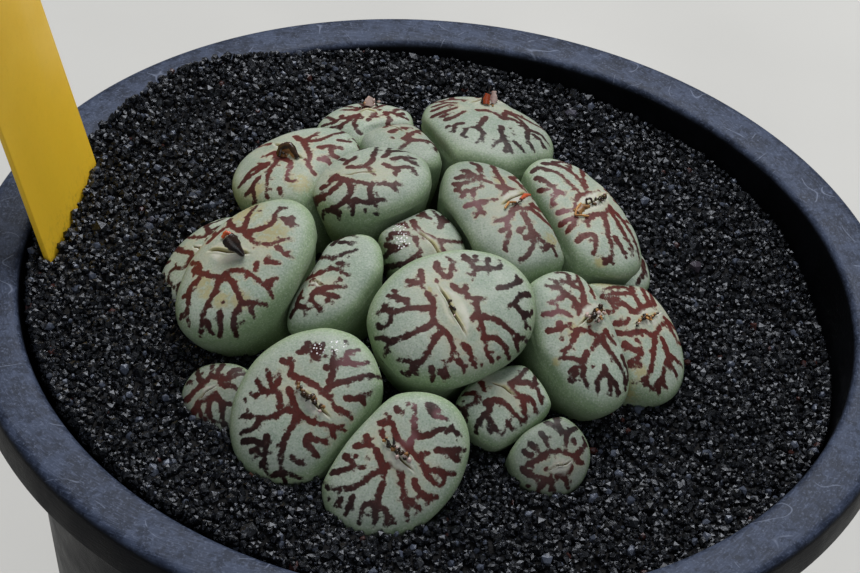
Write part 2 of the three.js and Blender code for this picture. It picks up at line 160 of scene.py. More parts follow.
# The form of every cleft: how deep or high the skin still takes part, how the lens narrows to its ends, how
# the slit wanders and fades in, and where the lips stand and how wide they are, by the slit or the lens
CLEFT_REACH = 2.5
LENS_EXPONENT = 1.7
SLIT_WANDER = 0.07
SLIT_WAVES = 6.0
SLIT_PHASE = 3.0
SLIT_ENDS = (0.05, 0.75)
INNER_LIP = (3.2, 2.6)
OUTER_LIP = (0.5, 0.5)
OUTER_LIP_HEIGHT = 0.6

# The colour of each head's dark lines: 0 is brown and 1 is brick red
RUDDY = {1: 0.35, 2: 0.3, 3: 0.35, 5: 0.75, 10: 0.75, 12: 0.4, 13: 0.45, 14: 0.85, 15: 0.8, 17: 0.6, 18: 0.9}
PLAIN_RUDDY = 0.25

# How much painted shade darkens some heads, which lie in less light than the others
PAINTED_SHADE = {4: 0.3, 8: 0.1, 9: 0.08, 12: 0.16, 13: 0.12, 14: 0.16, 20: 0.38}

# How far round the cleft the skin is warm, as a share of the radius, and where the green flank sets in, on
# the face by the step from its middle and on the side by the share of the way down, with both weights
WARM_REACH = 0.95
FLANK_STEPS = (0.64, 0.97)
FLANK_DROPS = (0.0, 0.5)
FLANK_WEIGHTS = (0.6, 0.4)

# Places where the skin is stained yellow, where its lines are faded and where it is wet, its beads of water
# with painted white glints, as pixels of the photograph with a radius in millimetres
STAINS = {
    5: "246,212 2.2 / 272,232 2.0 / 203,282 1.1 / 206,292 1.0 / 222,300 1.1 / 240,300 1.2 / 190,246 1.0",
    1: "450,308 0.7 / 430,290 0.5 / 456,320 0.6",
    14: "500,180 0.8 / 552,240 1.0",
    15: "585,205 0.8 / 600,262 0.7",
    17: "574,330 0.8 / 556,362 0.5",
    18: "605,280 1.8 / 622,390 1.8 / 640,372 1.0",
    10: "300,182 1.4 / 256,190 1.2",
}
FADES = {
    3: "416,402 0.9 / 412,420 0.9 / 409,438 0.9 / 440,415 0.8",
    15: "556,196 1.4 / 566,212 1.4",
    14: "470,203 1.6 / 510,222 1.2",
    10: "296,170 1.6 / 320,160 1.2",
    2: "352,362 1.6",
    17: "556,310 1.6 / 552,298 1.2",
}
WET = {
    2: "337,346 0.9 / 318,349 0.7",
    8: "399,227 0.8 / 402,238 0.9 / 404,245 0.7",
}

# The dark lines and spots of each head, read as points of the photograph in pixels. A stroke is a
# row of points, and strokes are parted by slashes.
LINES = {
    1: """
        427,293 433,303 433,313 434,322 440,327 448,335 453,347 452,357 447,363 444,372 /
        430,308 413,308 402,310 393,313 390,322 382,328 376,324 / 393,313 385,310 376,313 / 385,310 383,303 /
        405,303 407,300 397,297 393,290 / 397,297 387,295 / 421,270 422,280 423,289 /
        407,281 420,283 406,286 / 433,323 420,330 407,336 392,342 387,347 384,357 / 392,342 382,338 374,338 /
        440,333 433,343 427,353 420,363 410,362 397,360 / 413,365 408,377 / 413,365 418,378 /
        431,367 433,373 432,382 / 440,372 448,374 / 444,374 444,381 / 458,360 463,367 465,373 /
        463,344 469,350 472,360 476,368 / 452,285 457,290 465,293 472,298 487,298 / 463,292 468,285 /
        477,298 477,310 480,318 483,330 485,340 487,352 493,363 / 477,312 473,322 /
        480,317 490,318 500,322 508,328 515,335 523,338 528,343 / 518,338 517,347 519,352 /
        483,338 495,338 503,345 507,353 510,359 / 437,262 437,268 448,278 452,268 451,260 446,257 /
        463,255 470,262 475,268 472,280 / 476,256 473,263 / 475,268 500,268 499,260 / 488,258 488,268 /
        498,288 508,286 517,282 515,274 / 517,282 523,280 / 530,295 522,295 515,302 508,308 /
        515,305 522,313 525,322 531,329 / 522,313 530,315 533,308
    """,
    2: """
        291,375 300,378 312,383 319,388 325,394 331,401 335,409 / 291,375 291,364 288,355 / 282,360 289,364 /
        325,391 337,383 354,379 369,375 382,378 / 329,382 332,375 332,364 334,355 332,350 /
        334,363 347,363 360,364 369,362 / 347,363 347,353 360,350 / 325,367 332,369 /
        303,347 312,354 319,360 / 322,344 319,360 / 307,342 312,354 / 315,344 315,355 / 298,352 307,352 /
        346,398 359,398 372,392 / 359,398 366,404 / 337,409 347,413 353,419 /
        288,388 291,395 295,406 300,414 312,422 326,425 346,431 / 331,426 335,438 /
        297,409 294,423 287,435 282,450 281,468 284,479 286,485 / 272,476 284,473 303,479 /
        295,411 284,411 273,416 261,418 250,414 246,409 / 250,416 239,417 / 261,418 253,428 240,434 /
        279,407 280,400 276,392 264,392 257,395 250,394 / 264,392 259,385 256,377 / 275,392 270,381 267,369 /
        276,385 279,379 280,370 / 242,442 253,440 260,444 266,445 264,462 267,475 / 267,435 266,445 /
        264,462 259,468 / 250,451 259,450 253,459 / 307,437 306,445 313,450 318,459 /
        307,437 318,440 329,445 / 292,457 298,462 306,465
    """,
    3: """
        401,443 410,450 418,458 425,469 436,471 455,474 / 425,469 429,478 440,486 / 440,471 444,480 441,486 /
        410,445 414,432 415,419 415,404 / 418,437 431,434 442,429 453,431 462,436 / 449,430 454,425 /
        398,441 394,430 391,421 386,413 / 379,423 391,423 / 381,431 385,438 / 396,408 402,415 /
        427,404 432,413 438,417 449,420 / 431,406 438,406 / 432,411 441,410 / 354,446 366,445 375,447 /
        366,436 367,445 / 344,456 352,462 356,467 366,467 / 331,473 345,470 356,466 /
        376,450 380,460 384,465 396,467 401,473 402,484 405,497 406,510 407,523 / 409,501 414,504 422,511 /
        414,480 417,489 425,495 438,497 / 425,495 428,506 / 384,469 371,476 357,486 342,489 325,488 /
        384,469 384,480 / 383,484 380,491 376,502 366,504 362,510 359,525 / 376,504 375,516 372,528 /
        376,504 386,510 388,517 397,523 / 388,517 384,527 / 353,497 349,506 344,516 / 341,499 335,508 /
        420,456 429,452 / 436,450 448,451 459,448 / 448,451 466,450 / 448,452 457,460 462,462
    """,
    4: """
        185,401 191,396 197,389 203,383 208,380 211,374 212,367 214,362 / 203,383 199,378 197,371 199,366 /
        215,378 218,372 222,366 225,362 / 220,379 228,378 237,375 245,373 / 229,374 235,370 242,368 /
        220,383 226,386 233,387 239,390 / 187,383 193,381 / 198,402 205,400 212,397 217,392 /
        213,397 209,404 208,411 211,418 215,426 / 216,396 222,402 228,404 234,405 /
        222,402 223,411 222,419 225,427 / 199,402 195,408 192,414 191,417 / 196,407 200,414 201,420 /
        205,419 207,426
    """,
    5: """
        243,230 250,213 257,205 / 228,218 232,227 243,232 250,238 257,243 270,244 282,240 293,239 /
        247,232 263,228 273,222 278,210 288,208 / 282,218 292,223 298,225 / 292,217 292,228 /
        207,243 222,230 228,227 / 277,247 285,253 293,258 / 265,261 273,262 280,263 /
        193,270 207,275 220,277 228,272 240,270 252,275 260,282 268,288 273,298 / 267,282 277,278 /
        257,263 255,273 / 200,270 198,263 / 220,278 215,292 208,303 203,317 200,337 / 205,320 213,335 /
        227,278 233,283 238,293 242,303 255,303 268,305 / 250,308 255,318 / 240,307 235,313 233,325 237,337 /
        220,312 221,338 / 200,278 190,288 188,303 187,313 189,327 / 183,297 190,295 / 180,318 185,312
    """,
    6: """
        205,222 207,235 185,238 / 175,248 185,252 192,253 190,260 185,267 172,270 168,280 175,288 /
        192,275 177,287 / 163,263 170,262 / 163,275 165,283
    """,
    7: """
        332,245 340,238 350,235 357,237 / 340,242 357,243 / 315,260 325,257 335,258 345,253 358,250 /
        338,263 350,265 / 305,280 315,275 327,270 335,268 342,273 350,275 / 312,280 318,285 330,287 347,286 /
        320,287 313,293 312,300 323,312 / 317,292 327,295 333,304 / 330,295 340,298 / 297,303 302,290 /
        290,317 297,307 305,308 305,317 / 297,283 310,268 323,253
    """,
    8: """
        412,220 420,232 430,237 438,240 448,241 460,242 472,241 477,245 / 438,240 441,247 445,252 /
        440,228 441,220 435,213 432,210 / 441,220 447,211 / 442,222 450,220 460,215 /
        422,212 425,216 431,219 / 418,215 424,216 / 465,221 463,227 468,230 472,228 /
        397,224 404,224 407,228 / 390,234 403,233 413,236 / 385,245 392,247 400,247 407,246 /
        388,252 397,250 400,247 / 384,257 390,253 / 384,268 393,266 407,262 415,257 419,252 423,252 /
        420,257 419,265 / 385,273 388,267 / 415,237 417,245
    """,
    9: """
        329,181 339,178 348,180 359,182 369,184 382,184 392,184 403,185 / 390,184 398,192 /
        342,181 332,191 323,197 315,205 308,216 / 348,181 351,189 347,199 339,205 329,210 323,213 323,220 /
        332,212 339,212 339,220 / 345,200 353,204 351,216 / 353,200 364,202 375,204 378,207 /
        371,184 370,194 374,199 387,200 / 348,167 358,167 367,167 371,172 376,175 /
        367,165 372,160 374,154 378,144 / 383,157 388,154 390,148 395,144 / 388,151 400,151 411,152 /
        392,159 404,157 416,159 / 404,158 419,166 / 384,164 395,168 411,167 417,176 / 398,170 394,176 /
        345,164 353,159 356,156 / 359,150 366,148 / 331,180 337,173 / 321,188 331,184 / 313,200 323,192
    """,
    10: """
        295,136 303,141 319,140 332,135 345,132 356,132 363,140 365,144 /
        303,141 307,149 310,156 308,164 315,175 / 307,139 319,132 / 319,147 331,146 339,147 343,149 /
        331,148 331,157 / 339,140 352,142 / 319,159 329,160 / 276,152 276,162 270,170 267,181 267,199 /
        276,157 287,160 291,165 286,180 297,181 / 262,165 271,162 / 259,177 252,188 255,197 253,204 /
        252,188 244,197 / 268,164 252,175 242,184 / 262,164 249,173 238,188 / 279,188 282,196 /
        275,152 262,157
    """,
    11: """
        359,115 353,124 / 375,114 369,119 365,120 / 364,109 374,114 / 385,112 388,117 /
        390,112 398,115 404,118 / 355,115 342,125 331,128 / 351,117 340,119 332,124
    """,
    12: """
        382,121 395,120 409,124 420,127 433,138 444,151 / 385,127 395,124 404,124 / 390,132 401,128 412,128 /
        403,139 411,134 420,131 427,133 / 408,140 419,140 428,141 435,146 436,152
    """,
    13: """
        430,104 447,100 468,100 / 432,107 446,103 458,103 / 432,111 445,106 457,105 /
        432,117 443,112 458,107 / 441,117 450,113 / 445,120 454,117 461,113 466,111 /
        477,110 488,111 497,114 504,119 506,112 /
        506,111 519,116 532,123 543,129 550,136 / 503,119 510,118 519,123 528,131 /
        486,117 482,122 478,127 468,128 461,137 /
        478,127 483,133 482,138 476,143 / 463,123 455,125 454,133 / 449,126 446,128 /
        501,126 502,133 503,138 497,142 491,148 / 503,138 508,145 513,154 / 508,145 504,153 /
        514,141 520,147 525,153 / 528,130 528,140 532,147 534,152 / 530,130 540,134 546,141 550,146 /
        534,135 541,141 544,149 / 505,113 504,119 / 509,113 520,120 529,129
    """,
    14: """
        472,163 480,167 480,175 477,178 / 462,170 472,173 478,177 / 456,178 467,175 475,177 /
        453,184 463,183 477,180 483,180 492,183 / 456,190 463,184 / 462,197 465,192 473,190 483,186 /
        473,190 474,197 / 492,165 498,175 503,183 507,189 501,197 / 497,186 507,188 518,191 /
        510,177 517,182 523,188 530,195 / 465,206 475,203 485,201 498,199 / 477,203 480,212 473,214 /
        480,212 485,213 / 512,210 520,208 528,209 533,203 / 513,212 508,218 507,225 510,233 /
        508,218 500,220 493,223 / 501,231 508,228 / 523,213 527,220 532,230 538,235 543,242 553,247 557,257 /
        548,245 543,252 / 518,232 525,227 / 525,238 533,237 533,247 /
        530,208 542,218 552,228 560,240 567,255 / 532,205 547,215 557,227 566,240
    """,
    15: """
        532,172 538,168 548,170 558,173 568,182 577,190 583,195 /
        543,163 557,165 568,170 578,178 585,187 585,195 / 553,162 568,163 570,170 / 582,167 583,178 587,187 /
        583,195 593,193 603,195 / 535,178 543,180 552,187 557,193 553,200 552,207 / 557,192 567,192 /
        538,191 550,188 / 578,195 575,205 / 557,213 567,211 577,210 / 560,225 568,220 577,217 /
        567,232 575,222 577,217 / 587,217 595,215 605,212 610,205 / 588,218 588,227 /
        577,242 583,236 595,235 596,245 593,255 / 603,213 607,225 609,237 612,248 610,257 /
        604,264 610,258 614,265 / 615,237 620,245 626,258 / 612,213 618,223 625,235 632,247 632,257 /
        610,207 622,220 632,235 638,250 640,263
    """,
    16: """
        633,247 640,260 643,273 638,282 / 635,265 632,273 / 643,260 647,277
    """,
    17: """
        590,307 583,306 579,309 578,315 / 584,306 584,296 582,288 579,281 576,272 /
        582,289 575,287 570,281 566,273 555,273 / 570,282 560,281 /
        579,307 573,299 566,294 560,288 555,281 550,279 / 559,288 545,285 / 566,294 559,299 547,304 /
        549,315 559,311 566,313 573,318 / 547,331 558,329 564,326 573,324 / 559,323 562,327 /
        577,330 588,331 595,335 603,335 606,330 / 577,332 573,340 569,347 561,351 / 601,338 595,344 592,350 /
        588,352 584,358 582,365 577,367 569,372 / 583,361 570,358 558,358 / 584,367 583,374 586,382 588,388 /
        577,372 568,379 / 603,339 606,347 614,357 620,366 623,372 625,379 623,383 /
        622,356 627,369 628,378 625,390 / 606,330 610,338 616,345 / 604,366 606,373 599,378 597,395 /
        606,374 611,379 610,389 611,397 / 611,379 617,386 618,399 / 589,283 595,299
    """,
    18: """
        631,312 640,311 645,306 653,306 656,304 / 642,309 637,300 631,292 624,287 614,287 602,290 /
        633,294 624,293 610,294 603,297 / 633,292 631,285 / 650,306 646,296 641,287 /
        654,304 651,295 645,287 / 632,311 625,304 618,306 614,312 / 609,301 617,299 623,303 /
        612,305 616,302 / 615,324 625,323 629,318 /
        627,334 637,332 645,332 654,335 659,328 665,322 /
        655,335 654,347 653,360 650,372 645,379 638,382 631,382 / 645,380 646,386 /
        662,338 666,347 668,357 665,368 661,378 650,391 / 668,355 677,360 683,367 / 668,363 675,372 677,378 /
        662,379 667,390 / 658,384 659,395 / 625,343 632,349 642,351 638,360 637,366 628,367 /
        667,322 673,333 681,346 / 664,318 672,325 679,336 683,346 / 615,333 627,334 / 625,368 630,362 637,360
    """,
    19: """
        481,382 485,391 / 464,394 474,393 480,397 / 451,408 464,408 472,404 481,401 / 464,411 466,423 /
        459,419 468,415 / 485,404 492,400 502,401 509,408 516,415 526,423 /
        492,401 489,410 483,417 477,424 476,434 / 483,415 490,419 493,426 489,434 / 493,426 502,436 /
        507,421 511,428 516,430 / 509,385 518,378 529,367 / 515,382 533,384 539,394 542,404 /
        536,384 534,372 / 511,385 516,395 526,397 531,399 538,414 / 524,397 524,411 526,424
    """,
    20: """
        556,417 558,424 561,430 566,434 566,442 565,450 / 566,434 572,430 578,427 / 546,422 552,425 557,430 /
        541,433 546,441 549,449 / 529,443 536,448 540,454 / 524,451 530,456 534,459 /
        527,465 533,462 541,458 548,453 556,451 565,453 572,456 577,459 / 574,457 581,451 585,444 583,437 /
        577,459 578,463 584,463 / 571,466 569,475 / 573,439 575,445 /
        522,468 528,474 536,477 545,479 553,480 / 557,478 561,474 568,473 / 546,480 541,487 537,494 /
        551,480 552,487 554,494 / 563,475 566,482 568,490
    """,
}
SPOTS = {
    1: "438,281 383,362 402,372 482,365 499,358",
    2: "346,342 245,400",
    3: "407,404 356,456 369,459 416,514 329,499 324,484",
    5: "222,301 259,211 243,321",
    7: "340,280",
    8: "388,238",
    9: "365,212 377,213",
    12: "392,138 444,158",
    13: "511,128 514,134",
    17: "593,366 574,381 562,338",
    18: "637,341 640,366",
    20: "529,485 547,469",
}

# How the dark lines are drawn, in millimetres: half their widths, and the web that fills in where two meet
STROKE_STEP_PIXELS = 2.0
SAMPLE_STEP = 0.12
WIDE_LINE = 0.4
NARROW_LINE = 0.25
GROWN_LINE = 0.33
WEB = 0.13
FIELD_FLOOR = 1e-12
FIELD_BLOCK = 2000

# A spot is a few points close together
SPOT_RADIUS = 0.36
SPOT_SPREAD = 0.1
SPOT_POINTS = 4

# Short twigs beside the lines, in millimetres, and how much they lean forward
TWIG_SPACING = 1.3
TWIG_REACH = (0.45, 0.85)
TWIG_LINE = (0.24, 0.15)
TWIG_LEAN = (-0.2, 0.9)

# Lines grown on the parts of the faces that the photograph hides, in millimetres. They start at the drawn
# lines and on a ring round the cleft, and grow towards places that lie apart on the face.
GROWTH_SPACING = 1.3
GROWTH_REACH = 3.4
GROWTH_STEP = 0.3
GROWTH_CLEARING = 0.95
GROWTH_ROUNDS = 60
GROWTH_WANDER = 0.25
GROWTH_CANDIDATES = 1500
GROWTH_STEPS = (0.2, 0.89)
SEED_EVERY = 3
SEED_RING = 24
SEED_MARGIN = 0.6
SIGHT_START = 0.15

# Heads whose faces the photograph shows only edge on, so that their lines are grown all over
EDGE_ON = (11,)

# Grit: the size of the grains, how much it varies and how far apart they lie, in millimetres
GRAIN_RADIUS = 0.39
GRAIN_SIZE_SPREAD = 0.24
GRAIN_SPACING = 0.66
GRAIN_STRETCH = (0.72, 1.18)
GRAIN_CORNERS = (0.76, 1.2)
GRAIN_FIELD_RADIUS = 43.4
SOIL_EDGE_RADIUS = 42.3

# Layers of grains: their height over the soil, how much it varies, and the share of places that are filled
GRAIN_LAYERS = ((-0.3, 0.15, 0.4), (0.1, 0.2, 1.0), (0.42, 0.22, 0.42))
LAYER_STRAY = 0.5
GRAIN_STRAY = 0.31

# Rings of grains at the pot's wall: their heights over the soil, and how far a grain strays from its place
WALL_LIFTS = (-1.2, -0.55, 0.1, 0.65)
WALL_STRAY_ROUND = 0.3
WALL_STRAY_IN = 0.4
WALL_STRAY_UP = 0.2

# The lowest ground that takes grains, and how close they come to other things, in millimetres or grains
LOWEST_GROUND = -9.0
GROUND_SIGHT = 20.0
WALL_CLEARANCE = 0.9
LABEL_SIDE_CLEARANCE = 0.3
LABEL_CLEARANCE = 0.7
HEAD_CLEARANCE = 0.6
HEAD_MARGIN = 1.0

# Strips of grit from front to back
GRIT_STRIPS = (
    ("grit_front", -50.0, -22.0),
    ("grit_near", -22.0, -2.0),
    ("grit_far", -2.0, 20.0),
    ("grit_back", 20.0, 50.0),
)

# Dried remains of flowers: each form with the pixels that it runs through (those marked ^ stand off the
# skin), its widths, its thickness, and its tone: -1 is red, 0 nearly black, 1 golden and 2 whitish
REMAINS = {
    1: [("crumbs", "450,303 452,308 455,314", (0.34, 0.5, 0.3), 0.0, 0.3)],
    2: [("crumbs", "297,387 310,398 322,409", (0.5, 0.66, 0.4), 0.0, 0.3)],
    3: [
        ("crumbs", "387,443 396,454 409,462", (0.4, 0.56, 0.5), 0.0, 0.4),
        ("scale", "390,446 388,441^ 385,438^", (0.3, 0.25, 0.12), 0.15, 0.0),
        ("scale", "394,446 394,441^ 393,437^", (0.3, 0.25, 0.12), 0.15, 0.0),
    ],
    5: [
        ("body", "244,256 236,247^ 227,237^", (0.2, 0.8, 1.3, 1.6, 1.3), 1.1, 0.0),
        ("scale", "222,238^ 226,232^ 233,235^", (0.3, 0.5, 0.3), 0.25, -1.0),
        ("scale", "232,236^ 236,243^ 241,251^", (0.2, 0.22, 0.12), 0.15, 1.5),
    ],
    10: [
        ("scale", "279,157 281,147^ 290,144^ 298,158", (0.6, 0.9, 0.5), 0.15, 0.12),
        ("scale", "283,157 284,150^ 290,149^ 295,157", (0.5, 0.8, 0.4), 0.15, 0.45),
        ("crumbs", "281,155 288,153 296,157", (0.36, 0.4, 0.3), 0.0, 0.7),
        ("scale", "280,149^ 285,143^ 291,143^", (0.2, 0.3, 0.2), 0.15, -0.5),
    ],
    11: [
        ("body", "368,106 369,101^ 371,97^", (1.1, 1.0, 0.6), 0.6, 1.7),
        ("crumbs", "362,107 369,103 377,105", (0.4, 0.4, 0.4), 0.0, 0.9),
    ],
    13: [
        ("body", "486,104 486,99^ 488,94^", (0.8, 1.0, 0.6), 0.8, -0.7),
        ("scale", "493,104 494,97^ 494,91^", (0.6, 0.9, 0.4), 0.3, 1.8),
        ("scale", "482,104 483,98^ 486,94^", (0.3, 0.34, 0.2), 0.3, 0.0),
        ("scale", "490,97^ 489,91^ 491,86^", (0.3, 0.26, 0.12), 0.15, 0.05),
        ("crumbs", "488,104 492,104 496,103", (0.26, 0.3, 0.26), 0.0, 0.3),
    ],
    14: [
        ("scale", "505,208 509,202^ 516,202", (0.2, 0.3, 0.2), 0.15, 1.1),
        ("crumbs", "514,204 519,202 523,199", (0.2, 0.22, 0.2), 0.0, 0.1),
        ("scale", "521,199 526,195^ 530,195", (0.3, 0.6, 0.3), 0.3, -1.0),
    ],
    15: [
        ("scale", "578,212 583,207^ 590,206", (1.1, 1.1, 0.3), 0.15, 0.45),
        ("scale", "581,203 577,208^ 575,215", (0.2, 0.24, 0.2), 0.2, 1.05),
        ("scale", "575,215 582,215^ 589,216", (0.2, 0.24, 0.2), 0.2, 1.05),
        ("scale", "587,206 586,199^ 591,198^ 593,205", (0.22, 0.24, 0.22), 0.2, 0.1),
        ("crumbs", "594,203 600,199 606,196", (0.4, 0.5, 0.3), 0.0, 0.15),
    ],
    17: [
        ("scale", "588,322 595,315^ 602,308", (0.3, 0.9, 0.6), 0.25, 0.25),
        ("scale", "591,317^ 595,310^ 602,307^", (0.2, 0.4, 0.3), 0.2, 0.05),
        ("crumbs", "590,320^ 595,314^ 602,308^", (0.4, 0.7, 0.5), 0.0, 0.8),
        ("crumbs", "596,322 601,318 604,312", (0.24, 0.3, 0.26), 0.0, 0.9),
    ],
    18: [
        ("crumbs", "637,323 647,318 657,315", (0.3, 0.4, 0.34), 0.0, 0.6),
        ("scale", "642,320 646,315^ 650,317", (0.2, 0.4, 0.2), 0.12, 0.2),
    ],
}

# How far the remains are lifted towards the camera, and how closely their routes follow the places given
REMAINS_LIFT = 0.3
ROUTE_SHARPNESS = 1.6
ROUTE_END_EXPONENT = 6

# Scales and bodies: how much each is cupped and how ragged it is, and how far they are turned up
SCALE_STATIONS = 18
SCALE_SIDES = 14
SCALE_FORMS = {"scale": (0.28, 0.12), "body": (0.0, 0.03)}
SCALE_CRUMPLE = 0.8
SCALE_UPTURN = 0.4

# Crumbs: their spacing, how far they stray and how high they lie, in widths of the row, their random
# shapes, and the shares of them that are whitish, as painted glints, and dark
CRUMB_SPACING = 0.38
CRUMB_STRAY = 0.45
CRUMB_LIFT = 0.2
CRUMB_STRETCH = (0.6, 1.3)
CRUMB_CORNERS = (0.75, 1.25)
GLINT_CRUMBS = 0.1
DARK_CRUMBS = 0.55
GLINT_TONE = 1.8
DARK_TONE = 0.1

# The pot, in millimetres and degrees
RIM_RADIUS = 50.0
RIM_BAND = 5.6
SKIRT_DROP = 4.9
LEDGE_DROP = 3.0
WALL = 1.3
FOOT_RADIUS = 36.3
FLOOR_RAISED = 1.5
PAD_RADIUS = 9.0
DRAIN_HOLES = 6
DRAIN_RADIUS = 3.4
DRAIN_RING_RADIUS = 20.5
BODY_TOP_RADIUS = RIM_RADIUS - RIM_BAND + 0.8
INNER_TOP_RADIUS = BODY_TOP_RADIUS - WALL
INNER_FOOT_RADIUS = FOOT_RADIUS - WALL
FLOOR_TOP = FLOOR_RAISED + WALL + 0.1
DRAIN_CUT = 14.0
POT_SEGMENTS = 224
DRAIN_SEGMENTS = 40
POT_SHARP_ANGLE = 50.0

# How much noise on the pot is squeezed along its rings
RING_SQUEEZE = 0.012

# The label, in millimetres and degrees: its place in the soil, the way its edge points and how far it leans
LABEL_WIDTH = 17.0
LABEL_LENGTH = 100.0
LABEL_BURIED = 30.0
LABEL_THICKNESS = 0.6
LABEL_POINT = 12.0
LABEL_PLACE = (-40.6, 5.5)
LABEL_BEARING = 82.5
LABEL_LEAN = 16.0
LABEL_TIP = 1.5
LABEL_ROUNDING = (0.8, 3.0, 1.6)
LABEL_CORNER_STEPS = 7
LABEL_BEVEL = 0.16
LABEL_SHARP_ANGLE = 35.0

# The least angle in radians between two faces of the label whose edge is bevelled
LABEL_CORNER_ANGLE = 1.2

# The most of an outline's side that the rounding of a corner takes, as a share
CORNER_SHARE = 0.45

# The stage: lights with their place and size in metres, all aimed at one place
FLOOR_HALF = 2.0
LIGHT_TARGET = (0.0, 0.0, 0.085)
LIGHTS = {
    "key": dict(place=(0.04, 0.28, 0.52), size=0.4, energy=3.05, color=(1.0, 0.99, 0.97)),
    "front_fill": dict(place=(0.1, -0.5, 0.42), size=0.5, energy=0.75, color=(0.96, 0.98, 1.0)),
}
SKY_COLOR = (0.9, 0.94, 1.0, 1.0)
SKY_STRENGTH = 0.16


def unit(vectors):
    return vectors / np.linalg.norm(vectors, axis=-1, keepdims=True)


def to_metres(points):
    """Plant millimetres, with the rim's top at 0, to the frame's metres."""
    return (np.asarray(points) + [0.0, 0.0, RIM_TOP]) * MM


def to_plant(points):
    """The frame's metres to plant millimetres."""
    return np.asarray(points) / MM - [0.0, 0.0, RIM_TOP]


def smooth_step(low, high, values):
    share = np.clip((values - low) / (high - low), 0.0, 1.0)
    return share * share * (3.0 - 2.0 * share)


def waves(points, size, seed):
    """Smooth random heights between about -1 and 1, with bumps of a given size."""
    random = np.random.default_rng(seed)
    total = np.zeros(len(points))
    for _ in range(WAVE_COUNT):
        direction = unit(random.normal(size=3)) * 2.0 * math.pi / (size * random.uniform(*WAVE_LENGTHS))
        total += np.sin(points @ direction + random.uniform(0.0, 2.0 * math.pi))
    return total / math.sqrt(WAVE_COUNT)


def camera_axes():
    """The camera's directions to the right, up and back, in the plant's frame."""
    height = math.radians(CAMERA_HEIGHT_ANGLE)
    roll = math.radians(CAMERA_ROLL)
    back = np.array([0.0, -math.cos(height), math.sin(height)])
    level = np.array([1.0, 0.0, 0.0])
    raised = np.cross(back, level)
    right = math.cos(roll) * level + math.sin(roll) * raised
    return right, np.cross(back, right), back


RIGHT, UP, BACK = camera_axes()
CAMERA = CAMERA_AIM + CAMERA_DISTANCE * BACK


def pixel_ray(pixel):
    """The direction from the camera through a pixel of the photograph."""
    across, down = pixel
    ray = RIGHT * (across - PHOTO_WIDTH / 2) - UP * (down - PHOTO_HEIGHT / 2) - BACK * FOCAL_PIXELS
    return unit(ray)


def to_pixels(points):
    """The pixels of the photograph that show the points."""
    away = points - CAMERA
    depth = -(away @ BACK)
    across = PHOTO_WIDTH / 2 + FOCAL_PIXELS * (away @ RIGHT) / depth
    down = PHOTO_HEIGHT / 2 - FOCAL_PIXELS * (away @ UP) / depth
    return np.stack([across, down], axis=1)


def read_points(text):
    return np.array([[float(value) for value in pair.split(",")] for pair in text.split()])


def read_strokes(text):
    return [read_points(row) for row in text.split("/") if row.strip()]


def read_patches(text):
    """Places with a radius, as rows of a pixel and a number."""
    rows = [row.split() for row in text.split("/") if row.strip()]
    return [(read_points(pixel)[0], float(radius)) for pixel, radius in rows]


def smooth_route(points):
    """A smooth curve through pixels, as a row of pixels a small step apart."""
    if len(points) == 1:
        return points
    padded = np.vstack([2 * points[0] - points[1], points, 2 * points[-1] - points[-2]])
    route = []
    for before, start, end, after in zip(padded, padded[1:], padded[2:], padded[3:]):
        count = max(2, int(np.linalg.norm(end - start) / STROKE_STEP_PIXELS))
        for share in np.arange(count) / count:
            square, cube = share ** 2, share ** 3
            place = 2 * start + (end - before) * share
            place = place + (2 * before - 5 * start + 4 * end - after) * square
            place = place + (3 * start - before - 3 * end + after) * cube
            route.append(0.5 * place)
    route.append(points[-1])
    return np.array(route)


# Shape of the heads


def head_frame(head):
    """The place, directions and sizes of a head, as its CAD solid has them."""
    top = np.array([head["x"], head["y"], head["top"]], float)
    axis = unit(top - ROOT - [head.get("lean", 0.0), 0.0, 0.0])
    turn = math.radians(head["turn"])
    across = unit(np.cross([math.cos(turn), math.sin(turn), 0.0], axis))
    radius = (head["across"] + head["along"]) / 4
    rise = FACE_RISE * radius
    return dict(
        top=top,
        axis=axis,
        across=across,
        along=unit(np.cross(across, axis)),
        half_across=head["across"] / 2,
        half_along=head["along"] / 2,
        radius=radius,
        rise=rise,
        length=max(HEAD_LENGTH * radius, SHORTEST_HEAD),
        middle=top - axis * rise,
    )


FRAMES = {number: head_frame(head) for number, head in HEADS.items()}


def taper_at(drop):
    """Share of the full width on a head's side, by the share of the way from the face's edge to the foot."""
    return 1.0 - (1.0 - FOOT_SHARE) * np.clip(drop, 0.0, 1.0) ** TAPER_EXPONENT


def oval_radius(one, beside, along):
    """The oval's radius along a direction given by its parts across the cleft and along it."""
    return 1.0 / np.maximum(np.hypot(beside / one["half_across"], along / one["half_along"]), TINY)


def distance_outside(one, points):
    """About how far points lie outside the free form of a head, and under 0 inside it."""
    offset = points - one["middle"]
    height = offset @ one["axis"]
    beside = offset @ one["across"]
    along = offset @ one["along"]
    out = np.maximum(np.hypot(beside, along), TINY)
    oval = oval_radius(one, beside / out, along / out)
    dome = (out / oval) ** FACE_EXPONENT + (np.maximum(height, 0.0) / one["rise"]) ** FACE_EXPONENT
    dome = np.maximum(dome, TINY) ** (1.0 / FACE_EXPONENT)
    above = np.hypot(out, height) * (1.0 - 1.0 / dome)
    below = out - oval * taper_at(-height / (one["length"] - one["rise"]))
    return np.where(height > 0.0, above, below)


def neighbours_of(number):
    """The heads that come near a head."""
    one = FRAMES[number]
    close = []
    for other_number, other in FRAMES.items():
        away = np.linalg.norm(other["middle"] - one["middle"])
        reach = NEIGHBOUR_SHARE * (one["radius"] + other["radius"]) + NEIGHBOUR_MORE
        if other_number != number and away < reach:
            close.append(other)
    return close


